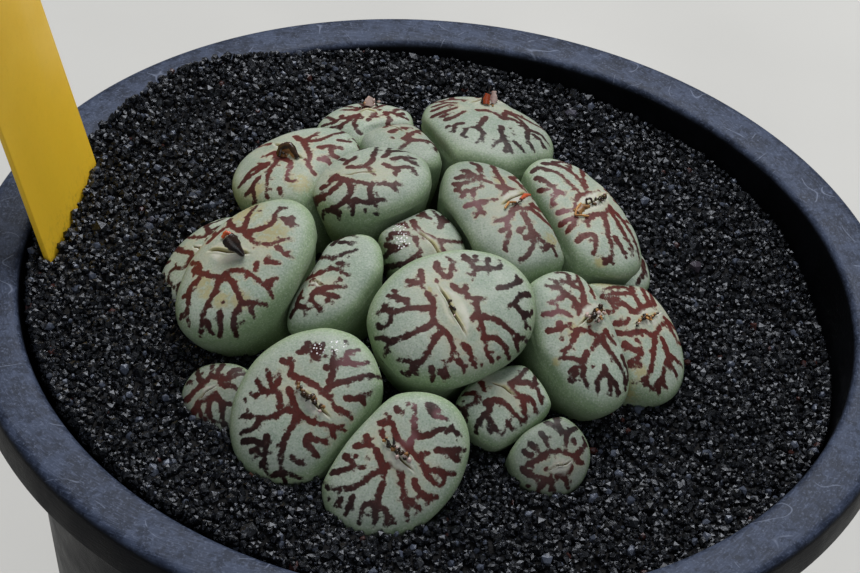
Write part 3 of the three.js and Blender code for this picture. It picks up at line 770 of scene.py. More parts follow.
def pressed_radius(one, free, center, direction, neighbours):
    """The radius along a direction, kept half-way between a head's own skin and its neighbours' skins.

    The place of contact is found by halving.
    """
    radius = free
    for other in neighbours:
        low = np.zeros(len(free))
        high = free + 2.0 * CONTACT_SOFTNESS
        for _ in range(PRESS_ROUNDS):
            tried = (low + high) / 2
            places = center + direction * tried[:, None]
            beyond = distance_outside(one, places) + GAP > distance_outside(other, places)
            high = np.where(beyond, tried, high)
            low = np.where(beyond, low, tried)
        near = np.maximum(CONTACT_SOFTNESS - np.abs(radius - low), 0.0) / CONTACT_SOFTNESS
        radius = np.minimum(radius, low) - near ** 2 * CONTACT_SOFTNESS / 4
    return np.maximum(radius, 0.0)


def face_depth(share, rise):
    """How far the face lies under its top at a share of the radius."""
    return rise * (1.0 - (1.0 - share ** FACE_EXPONENT) ** (1.0 / FACE_EXPONENT))


def walked_along(places):
    """The way walked at each place of a route."""
    return np.concatenate([[0.0], np.cumsum(np.linalg.norm(np.diff(places, axis=0), axis=1))])


def even_shares(one, steps):
    """Shares of the radius that lie evenly along the curve of the face, for even steps from 0 to 1."""
    table = 1.0 - (1.0 - np.linspace(0.0, 1.0, FACE_SAMPLES)) ** 2
    places = np.stack([table * one["radius"], face_depth(table, one["rise"])], axis=1)
    walked = walked_along(places)
    return np.interp(steps, walked / walked[-1], table)


def disc_grid(count):
    """A square grid drawn out to a disc: steps from the middle and angles, with lines closer at the cleft."""
    line = np.linspace(-1.0, 1.0, count + 1)
    beside, along = np.meshgrid(np.sign(line) * np.abs(line) ** GRID_CROWDING, line, indexing="ij")
    step = np.maximum(np.abs(beside), np.abs(along))
    wide = np.abs(beside) >= np.abs(along)
    ratio = np.divide(
        np.where(wide, along, beside), np.where(wide, beside, along), out=np.zeros_like(step), where=step > 0
    )
    angle = np.where(wide, ratio * math.pi / 4, math.pi / 2 - ratio * math.pi / 4)
    angle = angle + np.where(np.where(wide, beside, along) < 0, math.pi, 0.0)
    return step.ravel(), angle.ravel()


def grid_rim(index):
    """The points round the edge of a grid, in order."""
    return np.concatenate([index[-1, :-1], index[:0:-1, -1], index[0, :0:-1], index[:-1, 0]])


def head_layout(count):
    """Steps, angles and drops of a head's points, and its faces: the grid, the side's rings, the foot."""
    step, angle = disc_grid(count)
    index = np.arange((count + 1) ** 2).reshape(count + 1, count + 1)
    rim = grid_rim(index)
    cells = [index[:-1, :-1], index[1:, :-1], index[1:, 1:], index[:-1, 1:]]
    faces = np.stack([cell.ravel() for cell in cells], axis=1).tolist()
    drop = np.zeros(len(step))
    upper = rim
    for side_drop in SIDE_DROPS:
        lower = np.arange(len(rim)) + len(drop)
        step = np.concatenate([step, np.ones(len(rim))])
        angle = np.concatenate([angle, angle[rim]])
        drop = np.concatenate([drop, np.full(len(rim), side_drop)])
        ring = np.stack([upper, lower, np.roll(lower, -1), np.roll(upper, -1)], axis=1)
        faces += ring.tolist()
        upper = lower
    foot = len(drop)
    step = np.append(step, 0.0)
    angle = np.append(angle, 0.0)
    drop = np.append(drop, 1.0)
    faces += [[int(a), foot, int(b)] for a, b in zip(upper, np.roll(upper, -1))]
    return step, angle, drop, faces


def head_points(number, step, angle, drop, turn, shift):
    """Points of a head's skin in millimetres. The grid is turned and shifted so that it follows the cleft."""
    one = FRAMES[number]
    neighbours = neighbours_of(number)
    share = even_shares(one, step)
    turned = angle + turn
    direction = np.outer(np.cos(turned), one["across"]) + np.outer(np.sin(turned), one["along"])
    oval = oval_radius(one, np.cos(turned), np.sin(turned))
    edge = np.tile(one["middle"], (len(step), 1))
    outline = pressed_radius(one, oval, edge, direction, neighbours)
    on_face = drop == 0.0
    on_side = one["rise"] + drop * (one["length"] - one["rise"])
    depth = np.where(on_face, face_depth(share, one["rise"]), on_side)
    center = one["top"] - np.outer(depth, one["axis"])
    face_radius = share * (PRESSED_FACE * outline + (1.0 - PRESSED_FACE) * oval)
    free = np.where(on_face, face_radius, oval * taper_at(drop))
    radius = pressed_radius(one, free, center, direction, neighbours)
    radius = np.where((step == 0.0) & ~on_face, 0.0, radius)
    places = center + direction * radius[:, None]
    places += np.outer(np.where(on_face, (1.0 - share) ** 2, 0.0), shift)
    lean = np.where(on_face, share ** 4, 1.0)[:, None]
    outward = unit(one["axis"] * (1.0 - lean) + direction * lean)
    bumps = sum(height * waves(places, size, number + seed) for height, size, seed in SKIN_BUMPS)
    return places + outward * bumps[:, None]


def surface_tree(points, faces):
    return BVHTree.FromPolygons(points.tolist(), faces)


class Skin:
    """A head's points, with the means to find where a pixel of the photograph meets its skin."""

    def __init__(self, points, faces):
        self.points = points
        self.tree = surface_tree(points, faces)
        self.pixels = to_pixels(points)

    def at(self, pixel):
        """The place on the skin under a pixel, or near it where the pixel misses the skin."""
        hit = self.tree.ray_cast(Vector(CAMERA), Vector(pixel_ray(pixel)))[0]
        if hit is None:
            nearest = np.sum((self.pixels - pixel) ** 2, axis=1).argmin()
            return self.points[nearest]
        return np.array(hit)

    def route(self, pixels):
        """A drawn route on the skin, as points a small step apart."""
        places = np.array([self.at(pixel) for pixel in smooth_route(pixels)])
        return even_route(places)

    def nearest(self, place):
        return np.array(self.tree.find_nearest(Vector(place))[0])


def even_route(places):
    """Points at even steps along a route through places."""
    walked = walked_along(places)
    count = max(1, int(round(walked[-1] / SAMPLE_STEP)))
    at = (np.arange(count) + 0.5) / count * walked[-1]
    return np.stack([np.interp(at, walked, places[:, i]) for i in range(3)], axis=1)


def cleft_place(number, skin):
    """The cleft's middle on the skin, its direction and half its length."""
    one = FRAMES[number]
    ends = CLEFTS[number]["ends"]
    if ends:
        start, end = [skin.at(pixel) for pixel in read_points(ends)]
    else:
        turn = math.radians(HEADS[number]["turn"])
        half = np.array([math.cos(turn), math.sin(turn), 0.0]) * HIDDEN_CLEFT_HALF * one["radius"]
        middle = one["top"] + [*HIDDEN_CLEFTS[number], 0.0]
        start, end = skin.nearest(middle - half), skin.nearest(middle + half)
    middle = skin.nearest((start + end) / 2)
    tangent = unit(end - start)
    normal = unit(one["axis"] - tangent * (tangent @ one["axis"]))
    return dict(
        middle=middle,
        tangent=tangent,
        normal=normal,
        beside=np.cross(normal, tangent),
        half=np.linalg.norm(end - start) / 2,
    )


def lip_height(across, width, lip):
    """The share of a lip's height at a distance from the slit, for a lip given in widths."""
    middle, spread = lip
    return np.exp(-(((across - middle * width) / (spread * width)) ** 2))


def carve_cleft(points, place, cleft):
    """Opens the slit between its lips.

    Gives the new points, how far each lies inside the lens's edge, its share of the slit and how far it lies
    beside the slit.
    """
    offset = points - place["middle"]
    along = offset @ place["tangent"] / place["half"]
    on_face = np.abs(offset @ place["normal"]) < CLEFT_REACH
    closing = np.where(on_face, np.clip(1.0 - np.abs(along) ** LENS_EXPONENT, 0.0, 1.0), 0.0)
    wander = SLIT_WANDER * np.sin(SLIT_WAVES * along + SLIT_PHASE * cleft["lens"])
    beside = offset @ place["beside"] - wander
    across = np.abs(beside)
    lens = cleft["lens"] * (1.0 + cleft["skew"] * np.sign(beside)) * closing
    slit = smooth_step(*SLIT_ENDS, closing) * np.exp(-((across / cleft["slit"]) ** 2) / 2.0)
    inner = lip_height(across, cleft["slit"], INNER_LIP)
    outer = OUTER_LIP_HEIGHT * lip_height(across, cleft["lens"], OUTER_LIP)
    height = cleft["lip"] * closing * np.maximum(inner, outer) - cleft["depth"] * slit
    edge = np.where(closing > 0.0, lens - across, -1.0)
    return points + np.outer(height, place["normal"]), edge, slit, np.clip(beside, -1.0, 1.0)


def line_field(points, samples, halves):
    """Signed distance to the dark lines in millimetres, under 0 inside, with small webs where lines meet."""
    crowding = WEB * math.sqrt(2.0 * math.pi) / SAMPLE_STEP
    field = np.full(len(points), FIELD_FLOOR)
    square = np.sum(samples ** 2, axis=1) - halves ** 2
    for start in range(0, len(points), FIELD_BLOCK):
        part = points[start:start + FIELD_BLOCK]
        gaps = np.sum(part ** 2, axis=1)[:, None] + square[None, :] - 2.0 * part @ samples.T
        field[start:start + FIELD_BLOCK] += np.exp(-gaps / (2.0 * WEB ** 2)).sum(axis=1) / crowding
    return -2.0 * WEB ** 2 * np.log(field) / (WIDE_LINE + NARROW_LINE)


def side_twigs(skin, routes, axis, random):
    """Short twigs that leave the lines now to one side and now to the other."""
    every = round(TWIG_SPACING / SAMPLE_STEP)
    twigs = []
    for route in routes:
        for index in range(random.integers(2, every), len(route) - 2, every):
            forward = unit(route[index + 1] - route[index - 1])
            aside = np.cross(axis, forward) * random.choice((-1.0, 1.0))
            heading = unit(aside + forward * random.uniform(*TWIG_LEAN))
            tip = skin.nearest(route[index] + heading * random.uniform(*TWIG_REACH))
            twigs.append(even_route(np.array([route[index], tip])))
    return twigs


def hidden_targets(number, points, step, drop, blocked, random):
    """Places on the face that the photograph doesn't show, well apart."""
    nearest, furthest = GROWTH_STEPS
    candidates = np.flatnonzero((drop == 0.0) & (step > nearest) & (step < furthest))
    random.shuffle(candidates)
    chosen = []
    for index in candidates[:GROWTH_CANDIDATES]:
        place = points[index]
        if chosen and np.min(np.linalg.norm(np.array(chosen) - place, axis=1)) < GROWTH_SPACING:
            continue
        chosen.append(place)
    hidden = [place for place in chosen if number in EDGE_ON or blocked(place)]
    return np.array(hidden).reshape(-1, 3)


def grow_lines(skin, seeds, targets, random):
    """Branches that grow over the skin from the seeds to the targets, as veins do, each a pair of points."""
    nodes = seeds
    branches = []
    for _ in range(GROWTH_ROUNDS):
        if not len(targets):
            break
        gaps = np.linalg.norm(targets[:, None] - nodes[None, :], axis=2)
        parents = gaps.argmin(axis=1)
        pulled = gaps.min(axis=1) < GROWTH_REACH
        grown = []
        for parent in np.unique(parents[pulled]):
            mine = pulled & (parents == parent)
            heading = unit(targets[mine] - nodes[parent]).sum(axis=0)
            heading = heading + random.normal(size=3) * GROWTH_WANDER
            tip = skin.nearest(nodes[parent] + GROWTH_STEP * unit(heading))
            branches.append((nodes[parent], tip))
            grown.append(tip)
        if not grown:
            break
        nodes = np.vstack([nodes, grown])
        left = np.linalg.norm(targets[:, None] - np.array(grown)[None, :], axis=2).min(axis=1)
        targets = targets[left > GROWTH_CLEARING]
    return branches


def patch_values(points, skin, text):
    """Values that fade out round the places that a text gives."""
    values = np.zeros(len(points))
    for pixel, radius in read_patches(text):
        away = np.linalg.norm(points - skin.at(pixel), axis=1)
        values = np.maximum(values, np.exp(-((away / radius) ** 2)))
    return values


def add_object(name, data):
    """A new object in the scene."""
    added = bpy.data.objects.new(name, data)
    bpy.context.scene.collection.objects.link(added)
    return added


def new_mesh(name, points, faces, smooth=True):
    """A mesh object from points in metres, with its faces turned out."""
    mesh = bpy.data.meshes.new(name)
    mesh.from_pydata(np.asarray(points).tolist(), [], faces if isinstance(faces, list) else faces.tolist())
    mesh.validate()
    shaped = bmesh.new()
    shaped.from_mesh(mesh)
    bmesh.ops.recalc_face_normals(shaped, faces=shaped.faces)
    shaped.to_mesh(mesh)
    shaped.free()
    mesh.polygons.foreach_set("use_smooth", [smooth] * len(mesh.polygons))
    return add_object(name, mesh)


def mesh_from(name, shaped):
    """An object from a shape that isn't needed after it."""
    mesh = bpy.data.meshes.new(name)
    shaped.to_mesh(mesh)
    shaped.free()
    return add_object(name, mesh)


def dress(piece, material):
    """Gives a piece its one material."""
    piece.data.materials.clear()
    piece.data.materials.append(material)


def set_attribute(piece, name, values):
    attribute = piece.data.attributes.new(name, "FLOAT", "POINT")
    attribute.data.foreach_set("value", np.asarray(values, np.float32))


def base_skins():
    """Each head's skin before its cleft is carved, with the cleft's place."""
    skins = {}
    for number, one in FRAMES.items():
        rough = head_layout(ROUGH_GRID)
        points = head_points(number, *rough[:3], 0.0, np.zeros(3))
        place = cleft_place(number, Skin(points, rough[3]))
        beside = place["beside"]
        turn = math.atan2(beside @ one["along"], beside @ one["across"])
        shift = place["middle"] - one["top"]
        shift = shift - one["axis"] * (shift @ one["axis"])
        count = 2 * round((one["half_across"] + one["half_along"]) * GRID_MARGIN / MESH_STEP / 2)
        step, angle, drop, faces = head_layout(count)
        points = head_points(number, step, angle, drop, turn, shift)
        skin = Skin(points, faces)
        skins[number] = dict(step=step, drop=drop, faces=faces, skin=skin, place=cleft_place(number, skin))
    return skins


def make_heads(material):
    """All the heads. Gives their skins, for what lies on them."""
    skins = base_skins()
    trees = {number: entry["skin"].tree for number, entry in skins.items()}

    def blocked(place):
        """Whether a place on a head is turned away from the photograph's camera or behind a head."""
        towards = unit(CAMERA - place)
        start = Vector(place + towards * SIGHT_START)
        return any(tree.ray_cast(start, Vector(towards))[0] is not None for tree in trees.values())

    for number, entry in skins.items():
        make_head(number, entry, blocked, material)
    return {number: entry["skin"] for number, entry in skins.items()}


def head_samples(number, entry, blocked):
    """Points along a head's dark lines, drawn where the photograph shows them and grown elsewhere."""
    random = np.random.default_rng(LINES_SEED + number)
    skin = entry["skin"]
    place = entry["place"]
    routes = [skin.route(stroke) for stroke in read_strokes(LINES[number])]
    samples = [np.vstack(routes)]
    halves = [np.linspace(WIDE_LINE, NARROW_LINE, len(route)) for route in routes]
    for twig in side_twigs(skin, routes, FRAMES[number]["axis"], random):
        samples.append(twig)
        halves.append(np.linspace(*TWIG_LINE, len(twig)))
    for pixel in read_points(SPOTS.get(number, "")):
        spot = skin.at(pixel) + random.normal(size=(SPOT_POINTS, 3)) * SPOT_SPREAD
        samples.append(spot)
        halves.append(np.full(SPOT_POINTS, SPOT_RADIUS - SPOT_SPREAD))
    turns = np.linspace(0.0, 2.0 * math.pi, SEED_RING, endpoint=False)
    ring = np.outer(np.cos(turns) * place["half"], place["tangent"])
    ring += np.outer(np.sin(turns) * (CLEFTS[number]["lens"] + SEED_MARGIN), place["beside"])
    seeds = np.vstack([samples[0][::SEED_EVERY], place["middle"] + ring])
    targets = hidden_targets(number, skin.points, entry["step"], entry["drop"], blocked, random)
    branches = grow_lines(skin, seeds, targets, random)
    for start, end in branches:
        samples.append(even_route(np.array([start, end])))
        halves.append(np.full(len(samples[-1]), GROWN_LINE))
    return np.vstack(samples), np.concatenate(halves)


def warm_values(points, place, radius):
    """How near points lie to the cleft's line, 1 on it and 0 from some way off."""
    from_cleft = points - place["middle"]
    along = np.clip(from_cleft @ place["tangent"], -place["half"], place["half"])
    away = np.linalg.norm(from_cleft - np.outer(along, place["tangent"]), axis=1)
    return np.clip(1.0 - away / (WARM_REACH * radius), 0.0, 1.0)


def flank_values(step, drop):
    """How far points lie on the head's green flank."""
    on_face, on_side = FLANK_WEIGHTS
    return on_face * smooth_step(*FLANK_STEPS, step) + on_side * smooth_step(*FLANK_DROPS, drop)


def make_head(number, entry, blocked, material):
    skin = entry["skin"]
    points = skin.points
    carved, lens, slit, beside = carve_cleft(points, entry["place"], CLEFTS[number])
    piece = new_mesh("skin_%02d" % number, to_metres(carved), entry["faces"])
    values = {
        "line": line_field(points, *head_samples(number, entry, blocked)),
        "lens": lens,
        "slit": slit,
        "beside": beside,
        "warm": warm_values(points, entry["place"], FRAMES[number]["radius"]),
        "flank": flank_values(entry["step"], entry["drop"]),
        "ruddy": np.full(len(points), RUDDY.get(number, PLAIN_RUDDY)),
        "painted_shade": np.full(len(points), PAINTED_SHADE.get(number, 0.0)),
        "stain": patch_values(points, skin, STAINS.get(number, "")),
        "fade": patch_values(points, skin, FADES.get(number, "")),
        "wet": patch_values(points, skin, WET.get(number, "")),
    }
    for attribute, each in values.items():
        set_attribute(piece, attribute, each)
    dress(piece, material)
    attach(piece, "root")
    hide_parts("head_%02d" % number)


# Materials: noise and shares lie between 0 and 1, and the colours are those of a screen, from 0 to 255


def srgb(red, green, blue):
    """A colour given as 0 to 255 on a screen, as linear light."""
    channels = []
    for channel in (red, green, blue):
        share = channel / 255
        channels.append(share / 12.92 if share <= 0.04045 else ((share + 0.055) / 1.055) ** 2.4)
    return (*channels, 1.0)


class Look:
    """A material whose nodes are added by short calls. Most of these give the socket with the result."""

    def __init__(self, name, **sockets):
        self.material = bpy.data.materials.new(name)
        self.material.use_nodes = True
        self.tree = self.material.node_tree
        self.shader = self.tree.nodes["Principled BSDF"]
        for socket, value in sockets.items():
            self.shader.inputs[socket.replace("_", " ")].default_value = value
        self.place = self.add("TexCoord").outputs["Object"]

    def add(self, kind, inputs=(), **settings):
        node = self.tree.nodes.new("ShaderNode" + kind)
        for setting, value in settings.items():
            setattr(node, setting, value)
        for socket, value in dict(inputs).items():
            self.feed(node.inputs[socket], value)
        return node

    def feed(self, socket, value):
        if isinstance(value, bpy.types.NodeSocket):
            self.tree.links.new(value, socket)
        else:
            socket.default_value = value

    def attribute(self, name):
        return self.add("Attribute", attribute_name=name).outputs["Fac"]

    def noise(self, size, detail=2.0, roughness=0.5, place=None):
        """Noise between 0 and 1 with features of a size in millimetres."""
        inputs = dict(Vector=place or self.place, Scale=1.0 / (size * MM), Detail=detail, Roughness=roughness)
        return self.add("TexNoise", inputs).outputs["Fac"]

    def cells(self, size):
        """The distance from the middles of random cells of a size in millimetres."""
        inputs = dict(Vector=self.place, Scale=1.0 / (size * MM))
        return self.add("TexVoronoi", inputs).outputs["Distance"]

    def math(self, operation, first, second=0.0):
        return self.add("Math", {0: first, 1: second}, operation=operation).outputs[0]

    def plus(self, first, second):
        return self.math("ADD", first, second)

    def times(self, first, second):
        return self.math("MULTIPLY", first, second)

    def ramp(self, value, low, high, start=0.0, end=1.0):
        """A smooth change from start to end as a value goes from low to high."""
        inputs = {"Value": value, "From Min": low, "From Max": high, "To Min": start, "To Max": end}
        return self.add("MapRange", inputs, interpolation_type="SMOOTHSTEP").outputs[0]

    def mix(self, share, first, second):
        """Two colours mixed, each from a socket or as the red, green and blue of a screen."""
        node = self.add("Mix", data_type="RGBA")
        self.feed(node.inputs[0], share)
        for socket, color in ((node.inputs[6], first), (node.inputs[7], second)):
            self.feed(socket, srgb(*color) if isinstance(color, tuple) else color)
        return node.outputs[2]

    def coats(self, color, *coats):
        """A colour with coats laid over it in turn, each given as its share and its colour."""
        for share, coat in coats:
            color = self.mix(share, color, coat)
        return color

    def finish(self, color, roughness, bump=None, depth=0.0, distance=0.0):
        """The material, with bumps of a depth between 0 and 1 over a distance in millimetres."""
        self.feed(self.shader.inputs["Base Color"], color)
        self.feed(self.shader.inputs["Roughness"], roughness)
        if bump is not None:
            inputs = {"Height": bump, "Strength": depth, "Distance": distance * MM}
            normal = self.add("Bump", inputs).outputs["Normal"]
            self.feed(self.shader.inputs["Normal"], normal)
        return self.material


def skin_ground(look, grain, mottle, jagged):
    """The skin without lines: grey-green, creamy round the cleft, greener on the sides, stained in places."""
    broad = look.noise(7.0, 2.0)
    flank = look.attribute("flank")
    face = look.mix(look.ramp(broad, 0.3, 0.7), (158, 169, 157), (145, 160, 147))
    face = look.mix(look.ramp(mottle, 0.35, 0.75, 0.0, 0.6), face, (172, 181, 170))
    side = look.mix(look.ramp(mottle, 0.3, 0.7), (134, 155, 121), (147, 165, 134))
    side = look.mix(look.ramp(flank, 0.65, 1.0), side, (114, 134, 94))
    creamy = look.ramp(look.attribute("warm"), 0.45, 0.95)
    creamy = look.times(creamy, look.ramp(mottle, 0.35, 0.65, 0.1, 0.55))
    stained = look.times(look.attribute("stain"), look.ramp(jagged, 0.3, 0.6, 0.3, 1.0))
    return look.coats(
        look.mix(look.ramp(flank, 0.05, 0.6), face, side),
        (look.ramp(look.cells(0.36), 0.1, 0.4, 0.32, 0.0), (104, 128, 106)),
        (look.ramp(grain, 0.5, 0.75, 0.0, 0.5), (196, 204, 194)),
        (look.ramp(grain, 0.5, 0.25, 0.0, 0.5), (104, 126, 106)),
        (creamy, (182, 180, 158)),
        (look.ramp(stained, 0.08, 0.8, 0.0, 0.62), (164, 150, 94)),
    )


def skin_lines(look, grain, mottle, jagged):
    """The dark lines: the distance from their ragged edge, how red they are, and their colour."""
    edge = look.plus(look.attribute("line"), look.ramp(jagged, 0.2, 0.8, -0.12, 0.12))
    edge = look.plus(edge, look.ramp(grain, 0.2, 0.8, -0.025, 0.025))
    red = look.plus(look.times(look.attribute("warm"), 0.8), look.times(look.attribute("ruddy"), 0.6))
    color = look.coats(
        look.mix(look.ramp(red, 0.2, 1.1), (32, 19, 18), (94, 40, 34)),
        (look.ramp(mottle, 0.4, 0.8, 0.0, 0.3), (82, 50, 50)),
        (look.ramp(jagged, 0.45, 0.7, 0.0, 0.35), (80, 50, 48)),
        (look.ramp(grain, 0.45, 0.8, 0.0, 0.5), (26, 15, 14)),
        (look.ramp(look.attribute("fade"), 0.1, 0.8, 0.0, 0.6), (126, 86, 92)),
    )
    return edge, red, color


def skin_cleft(look, color, mottle, jagged):
    """The colour with the cleft over it: a cream lens that is olive on one side, and a brown slit."""
    lens = look.plus(look.attribute("lens"), look.ramp(jagged, 0.2, 0.8, -0.14, 0.14))
    beside = look.attribute("beside")
    slit = look.attribute("slit")
    olive = look.times(look.ramp(beside, 0.0, 0.12), look.ramp(beside, 0.15, 0.6, 1.0, 0.0))
    olive = look.times(olive, look.ramp(mottle, 0.35, 0.6, 0.1, 0.75))
    cream = look.mix(look.ramp(mottle, 0.35, 0.7), (196, 196, 186), (176, 180, 160))
    return look.coats(
        color,
        (look.ramp(lens, -0.1, 0.45), look.mix(olive, cream, (160, 150, 96))),
        (look.ramp(slit, 0.15, 0.6, 0.0, 0.85), (118, 104, 56)),
        (look.ramp(slit, 0.65, 0.98), (56, 42, 22)),
    )


def skin_look():
    """Waxy grey-green skin with dark branching lines, a pale lens round the cleft, some beads of water with
    painted white glints, and painted shade on some heads.
    """
    look = Look("head_skin", Specular_IOR_Level=0.18, Subsurface_Weight=0.1, Subsurface_Scale=0.001)
    look.shader.inputs["Subsurface Radius"].default_value = (0.6, 1.0, 0.4)
    grain = look.noise(0.2, 2.0, 0.6)
    mottle = look.noise(2.2, 3.0, 0.6)
    jagged = look.noise(0.5, 3.0, 0.55)
    edge, red, dark = skin_lines(look, grain, mottle, jagged)
    inked = look.ramp(edge, -0.09, 0.06, 1.0, 0.0)
    rimmed = look.times(look.ramp(edge, 0.0, 0.25, 1.0, 0.0), look.ramp(red, 0.4, 1.1, 0.05, 0.4))
    rimmed = look.times(rimmed, look.ramp(edge, -0.05, 0.05))
    color = look.coats(skin_ground(look, grain, mottle, jagged), (inked, dark), (rimmed, (190, 172, 142)))
    wet = look.attribute("wet")
    beads_and_glints = look.times(look.ramp(look.cells(0.3), 0.25, 0.38, 1.0, 0.0), look.ramp(wet, 0.25, 0.5))
    color = look.coats(
        skin_cleft(look, color, mottle, jagged),
        # Painted shade: dark grey laid over the heads that lie in less light
        (look.attribute("painted_shade"), (28, 30, 30)),
        # Painted highlight: white glints on the beads of water
        (look.times(beads_and_glints, 0.9), (246, 246, 250)),
    )
    rough = look.ramp(grain, 0.3, 0.7, 0.42, 0.58)
    rough = look.math("SUBTRACT", rough, look.ramp(wet, 0.15, 0.6, 0.0, 0.24))
    bump = look.plus(look.times(grain, 0.5), look.times(inked, -0.35))
    bump = look.plus(bump, look.times(beads_and_glints, 1.5))
    return look.finish(color, rough, bump, 0.5, 0.06)


def grit_look():
    """Black angular grit, a little glossy, with painted bluish glints and a few reddish and grey grains."""
    look = Look("soil_grit", Specular_IOR_Level=0.4)
    look.shader.inputs["Specular Tint"].default_value = (0.82, 0.88, 1.0, 1.0)
    tone = look.attribute("tone")
    fine = look.noise(0.2, 3.0, 0.6)
    color = look.coats(
        look.mix(look.ramp(tone, 0.0, 0.95), (3, 3, 4), (15, 16, 18)),
        # Painted highlight: fine bluish-grey veins that stand for glints on the grains' facets
        (look.ramp(fine, 0.6, 0.72, 0.0, 0.9), (104, 110, 128)),
        (look.ramp(tone, 0.955, 0.96), (70, 76, 90)),
        (look.ramp(tone, 0.994, 0.995), (58, 32, 28)),
    )
    rough = look.ramp(look.noise(0.7, 2.0), 0.3, 0.7, 0.12, 0.4)
    return look.finish(color, rough, fine, 0.7, 0.07)


def soil_look():
    """The dark fines under the grains."""
    look = Look("soil_fines", Specular_IOR_Level=0.2)
    fine = look.noise(0.4, 3.0)
    color = look.mix(look.ramp(fine, 0.3, 0.7), (9, 9, 10), (26, 26, 28))
    return look.finish(color, look.ramp(fine, 0.3, 0.7, 0.8, 0.95), fine, 0.8, 0.3)


def ringed_place(look, across, along, height):
    """A place in which the way round the pot is squeezed, so that noise there makes rings."""
    flat = look.add("CombineXYZ", {0: across, 1: along}).outputs[0]
    radius = look.add("VectorMath", {0: flat}, operation="LENGTH").outputs["Value"]
    around = look.add("VectorMath", {0: flat}, operation="NORMALIZE").outputs["Vector"]
    squeezed = look.add("VectorMath", {0: around, 1: [RING_SQUEEZE] * 3}, operation="MULTIPLY")
    section = look.add("CombineXYZ", {0: radius, 1: height})
    both = {0: squeezed.outputs["Vector"], 1: section.outputs[0]}
    return look.add("VectorMath", both, operation="ADD").outputs["Vector"]


def pot_look():
    """Blue-black satin plastic with fine rings from its mould, and a scratched and dusty rim whose top is
    painted a lighter blue-grey for its sheen.
    """
    look = Look("pot_plastic")
    look.shader.inputs["Specular Tint"].default_value = (0.8, 0.87, 1.0, 1.0)
    across, along, height = look.add("SeparateXYZ", {0: look.place}).outputs
    rings = look.noise(0.22, 2.0, 0.6, ringed_place(look, across, along, height))
    dust = look.noise(0.3, 3.0, 0.7)
    scuff = look.noise(4.5, 4.0, 0.65)
    smudge = look.noise(1.3, 4.0, 0.7)
    thin = look.math("ABSOLUTE", look.math("SUBTRACT", look.noise(5.0, 0.5), 0.5))
    scratched = look.ramp(thin, 0.001, 0.008, 0.45, 0.0)
    scratched = look.times(scratched, look.ramp(look.noise(3.0), 0.52, 0.6))
    clean = look.mix(look.ramp(scuff, 0.35, 0.7), (8, 9, 11), (13, 14, 18))
    # The rim's top: a lighter blue-grey that is painted sheen, with mould rings, smudges, dust and scratches
    # over it
    sheen_and_wear = look.coats(
        look.mix(look.ramp(scuff, 0.38, 0.62), (33, 40, 57), (58, 67, 88)),
        (look.ramp(rings, 0.45, 0.75, 0.0, 0.55), (82, 92, 117)),
        (look.ramp(smudge, 0.48, 0.62, 0.0, 0.7), (24, 30, 44)),
        (look.ramp(dust, 0.52, 0.72, 0.0, 0.6), (98, 108, 132)),
        (scratched, (132, 142, 166)),
    )
    upper = look.ramp(height, (RIM_TOP - 0.8) * MM, (RIM_TOP - 0.15) * MM)
    look.feed(look.shader.inputs["Specular IOR Level"], look.ramp(upper, 0.0, 1.0, 0.06, 0.18))
    rough = look.plus(look.ramp(scuff, 0.3, 0.7, 0.36, 0.48), look.times(upper, 0.1))
    return look.finish(look.mix(upper, clean, sheen_and_wear), rough, look.plus(rings, dust), 0.5, 0.06)


def label_look():
    """Yellow satin plastic, deeper in colour at its foot and a little soiled where it enters the grit."""
    look = Look("label_plastic", Specular_IOR_Level=0.4, Subsurface_Weight=0.05, Subsurface_Scale=0.0006)
    height = look.add("SeparateXYZ", {0: look.place}).outputs[2]
    broad = look.noise(9.0, 3.0)
    fine = look.noise(0.35, 3.0, 0.65)
    soiled = look.ramp(height, (RIM_TOP - 3) * MM, (RIM_TOP + 3.5) * MM, 1.0, 0.04)
    soiled = look.times(look.times(soiled, 0.6), look.ramp(look.noise(0.8, 4.0, 0.7), 0.45, 0.7))
    color = look.coats(
        look.mix(look.ramp(broad, 0.3, 0.7), (250, 204, 74), (240, 192, 62)),
        (look.ramp(fine, 0.55, 0.8, 0.0, 0.4), (214, 164, 56)),
        (look.ramp(height, (RIM_TOP - 2) * MM, (RIM_TOP + 40) * MM, 0.7, 0.0), (255, 208, 40)),
        (soiled, (60, 46, 28)),
    )
    return look.finish(color, look.ramp(broad, 0.3, 0.7, 0.38, 0.52), fine, 0.3, 0.04)


def bark_look():
    """Dull brown bark."""
    look = Look("root_wood", Specular_IOR_Level=0.2)
    coarse = look.noise(1.4, 4.0, 0.65)
    color = look.mix(look.ramp(coarse, 0.3, 0.7), (70, 50, 34), (116, 88, 60))
    return look.finish(color, look.ramp(coarse, 0.3, 0.7, 0.7, 0.9), coarse, 0.8, 0.4)


def flower_look():
    """Dry remains, nearly black where they are thick, golden and whitish at thin edges, red where torn, and
    with whitish crumbs as painted glints.
    """
    look = Look("dried_flower", Specular_IOR_Level=0.5)
    tone = look.attribute("tone")
    fine = look.noise(0.25, 3.0, 0.6)
    coarse = look.noise(0.8, 2.0)
    dark = look.mix(look.ramp(coarse, 0.35, 0.65), (20, 13, 11), (46, 28, 20))
    gold = look.mix(look.ramp(coarse, 0.35, 0.65), (146, 92, 42), (206, 152, 84))
    pale = look.times(look.ramp(look.attribute("edge"), 0.5, 1.0), look.ramp(fine, 0.35, 0.6))
    color = look.coats(
        dark,
        (look.ramp(tone, 0.0, 1.0), gold),
        (look.times(pale, look.ramp(tone, 0.1, 0.6)), (226, 186, 120)),
        # Whitish: the whitish parts of the remains, and painted glints on the crumbs with the highest tone
        (look.ramp(tone, 1.1, 1.7), (196, 172, 166)),
        (look.ramp(tone, -0.2, -1.0), (196, 84, 44)),
    )
    return look.finish(color, look.ramp(tone, 0.1, 0.6, 0.2, 0.5), fine, 0.5, 0.06)


# Shapes of the pot, the label and the grit


